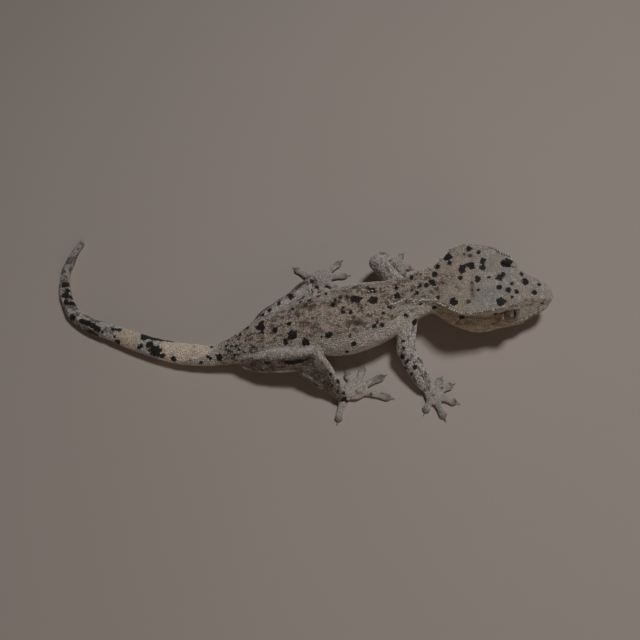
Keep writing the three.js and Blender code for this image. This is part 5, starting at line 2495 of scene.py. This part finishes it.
@dataclass(frozen=True)
class Lamp:
    """A soft square lamp: where it stands and looks in the plan, its size, power and colour."""

    name: str
    position: Triple
    target: Triple
    size: float
    power: float
    colour: Colour

    def build(self, plan: Plan) -> Object:
        """Puts the lamp in the scene.

        Args:
            plan: the plan's place in the frame.

        Returns:
            The lamp.
        """
        data = bpy.data.lights.new(self.name, "AREA")
        data.shape = "SQUARE"
        data.size = self.size * MM
        data.energy = self.power
        data.color = self.colour
        lamp = bpy.data.objects.new(self.name, data)
        start = Vector(plan.to_frame(np.array(self.position)))
        lamp.location = start
        way = Vector(plan.to_frame(np.array(self.target))) - start
        lamp.rotation_euler = way.to_track_quat("-Z", "Y").to_euler()
        bpy.context.scene.collection.objects.link(lamp)
        return lamp


@dataclass
class Studio:
    """A plain pale floor and plain soft light from behind and above the animal."""

    half_floor: float = 900.0
    sky: Colour = (1.0, 0.86, 0.76)
    sky_strength: float = 0.013
    lamps: tuple[Lamp, ...] = (
        Lamp("lamp_above", (150.0, 70.0, 480.0), (0.0, 0.0, 0.0), 90.0, 0.81, (1.0, 0.985, 0.97)),
        Lamp("lamp_side", (60.0, -430.0, 150.0), (0.0, 0.0, 5.0), 260.0, 0.205, (1.0, 0.84, 0.72)),
    )

    def build(self, plan: Plan) -> None:
        """Makes the floor, the sky and the lamps.

        Args:
            plan: the plan's place in the frame.
        """
        half = self.half_floor
        corners = np.array([(-half, -half, 0), (half, -half, 0), (half, half, 0), (-half, half, 0)], float)
        mesh = make_mesh("floor", plan.to_frame(corners), [np.array([[0, 1, 2, 3]])])
        add_object("floor", mesh, FloorFinish().build())
        world = bpy.data.worlds.new("soft_room")
        world.use_nodes = True
        background = world.node_tree.nodes["Background"]
        background.inputs["Color"].default_value = (*self.sky, 1.0)
        background.inputs["Strength"].default_value = self.sky_strength
        bpy.context.scene.world = world
        bpy.context.scene.view_settings.view_transform = "Standard"
        for lamp in self.lamps:
            lamp.build(plan)


FLESH_NODES: tuple[str, ...] = (
    "head", "lower_jaw", "neck", "trunk", "hips", "tail_base", "tail_middle", "tail_tip",
    "upper_arm_front_left", "forearm_front_left", "hand_front_left",
    "upper_arm_front_right", "forearm_front_right", "hand_front_right",
    "thigh_hind_left", "shin_hind_left", "foot_hind_left",
    "thigh_hind_right", "shin_hind_right", "foot_hind_right",
)


def place_skin(skin: Skin, values: Values, plan: Plan, finish: Material) -> Object:
    """Moves the finished skin into the frame, ties it to the frame and hides the nodes of flesh that it
    replaces.

    Args:
        skin: the finished skin.
        values: numbers for every point, by name.
        plan: the plan's place in the frame.
        finish: the material.

    Returns:
        The piece.
    """
    mesh = skin.mesh
    move_points(mesh, plan.to_frame(skin.points))
    carry(mesh, values)
    return finish_piece(add_object("skin", mesh, finish), "skin", *FLESH_NODES)


def report(obj: Object) -> None:
    """Logs a piece's name and size."""
    log.info("%s: %d points, %d faces", obj.name, len(obj.data.vertices), len(obj.data.polygons))


def corners(box: Sequence[Sequence[float]]) -> list[list[float]]:
    """A box's two corners as plain lists."""
    return [[float(value) for value in corner] for corner in box]


def main() -> None:
    """Builds every piece in order."""
    logging.basicConfig(level=logging.INFO, format="%(message)s")
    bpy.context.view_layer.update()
    head, body = HeadForm(), BodyForm()
    plan = Plan.read(head)
    camera = PhotoCamera()
    camera.build(plan)
    eyes = (EyePlace(1), EyePlace(-1))
    skin = Skin(head, body, LEGS, eyes)
    values = Markings().read(skin, camera)
    report(place_skin(skin, values, plan, SkinFinish().build("gecko_skin", 0.42)))
    coat = SkinFinish().build("gecko_scales", 0.0)
    for piece in Scales().build(skin, values, plan, coat):
        report(piece)
    report(LipScales().build(skin, values, plan, coat))
    report(CrestFringe().build(skin, body, plan, coat))
    wet = EyeFinish().build()
    for eye in eyes:
        report(Eyeball(eye).build(head, plan, wet))
    horn = HornFinish().build()
    for leg in LEGS:
        report(Claws(leg).build(plan, horn))
    Studio().build(plan)


if __name__ == "__main__":
    main()
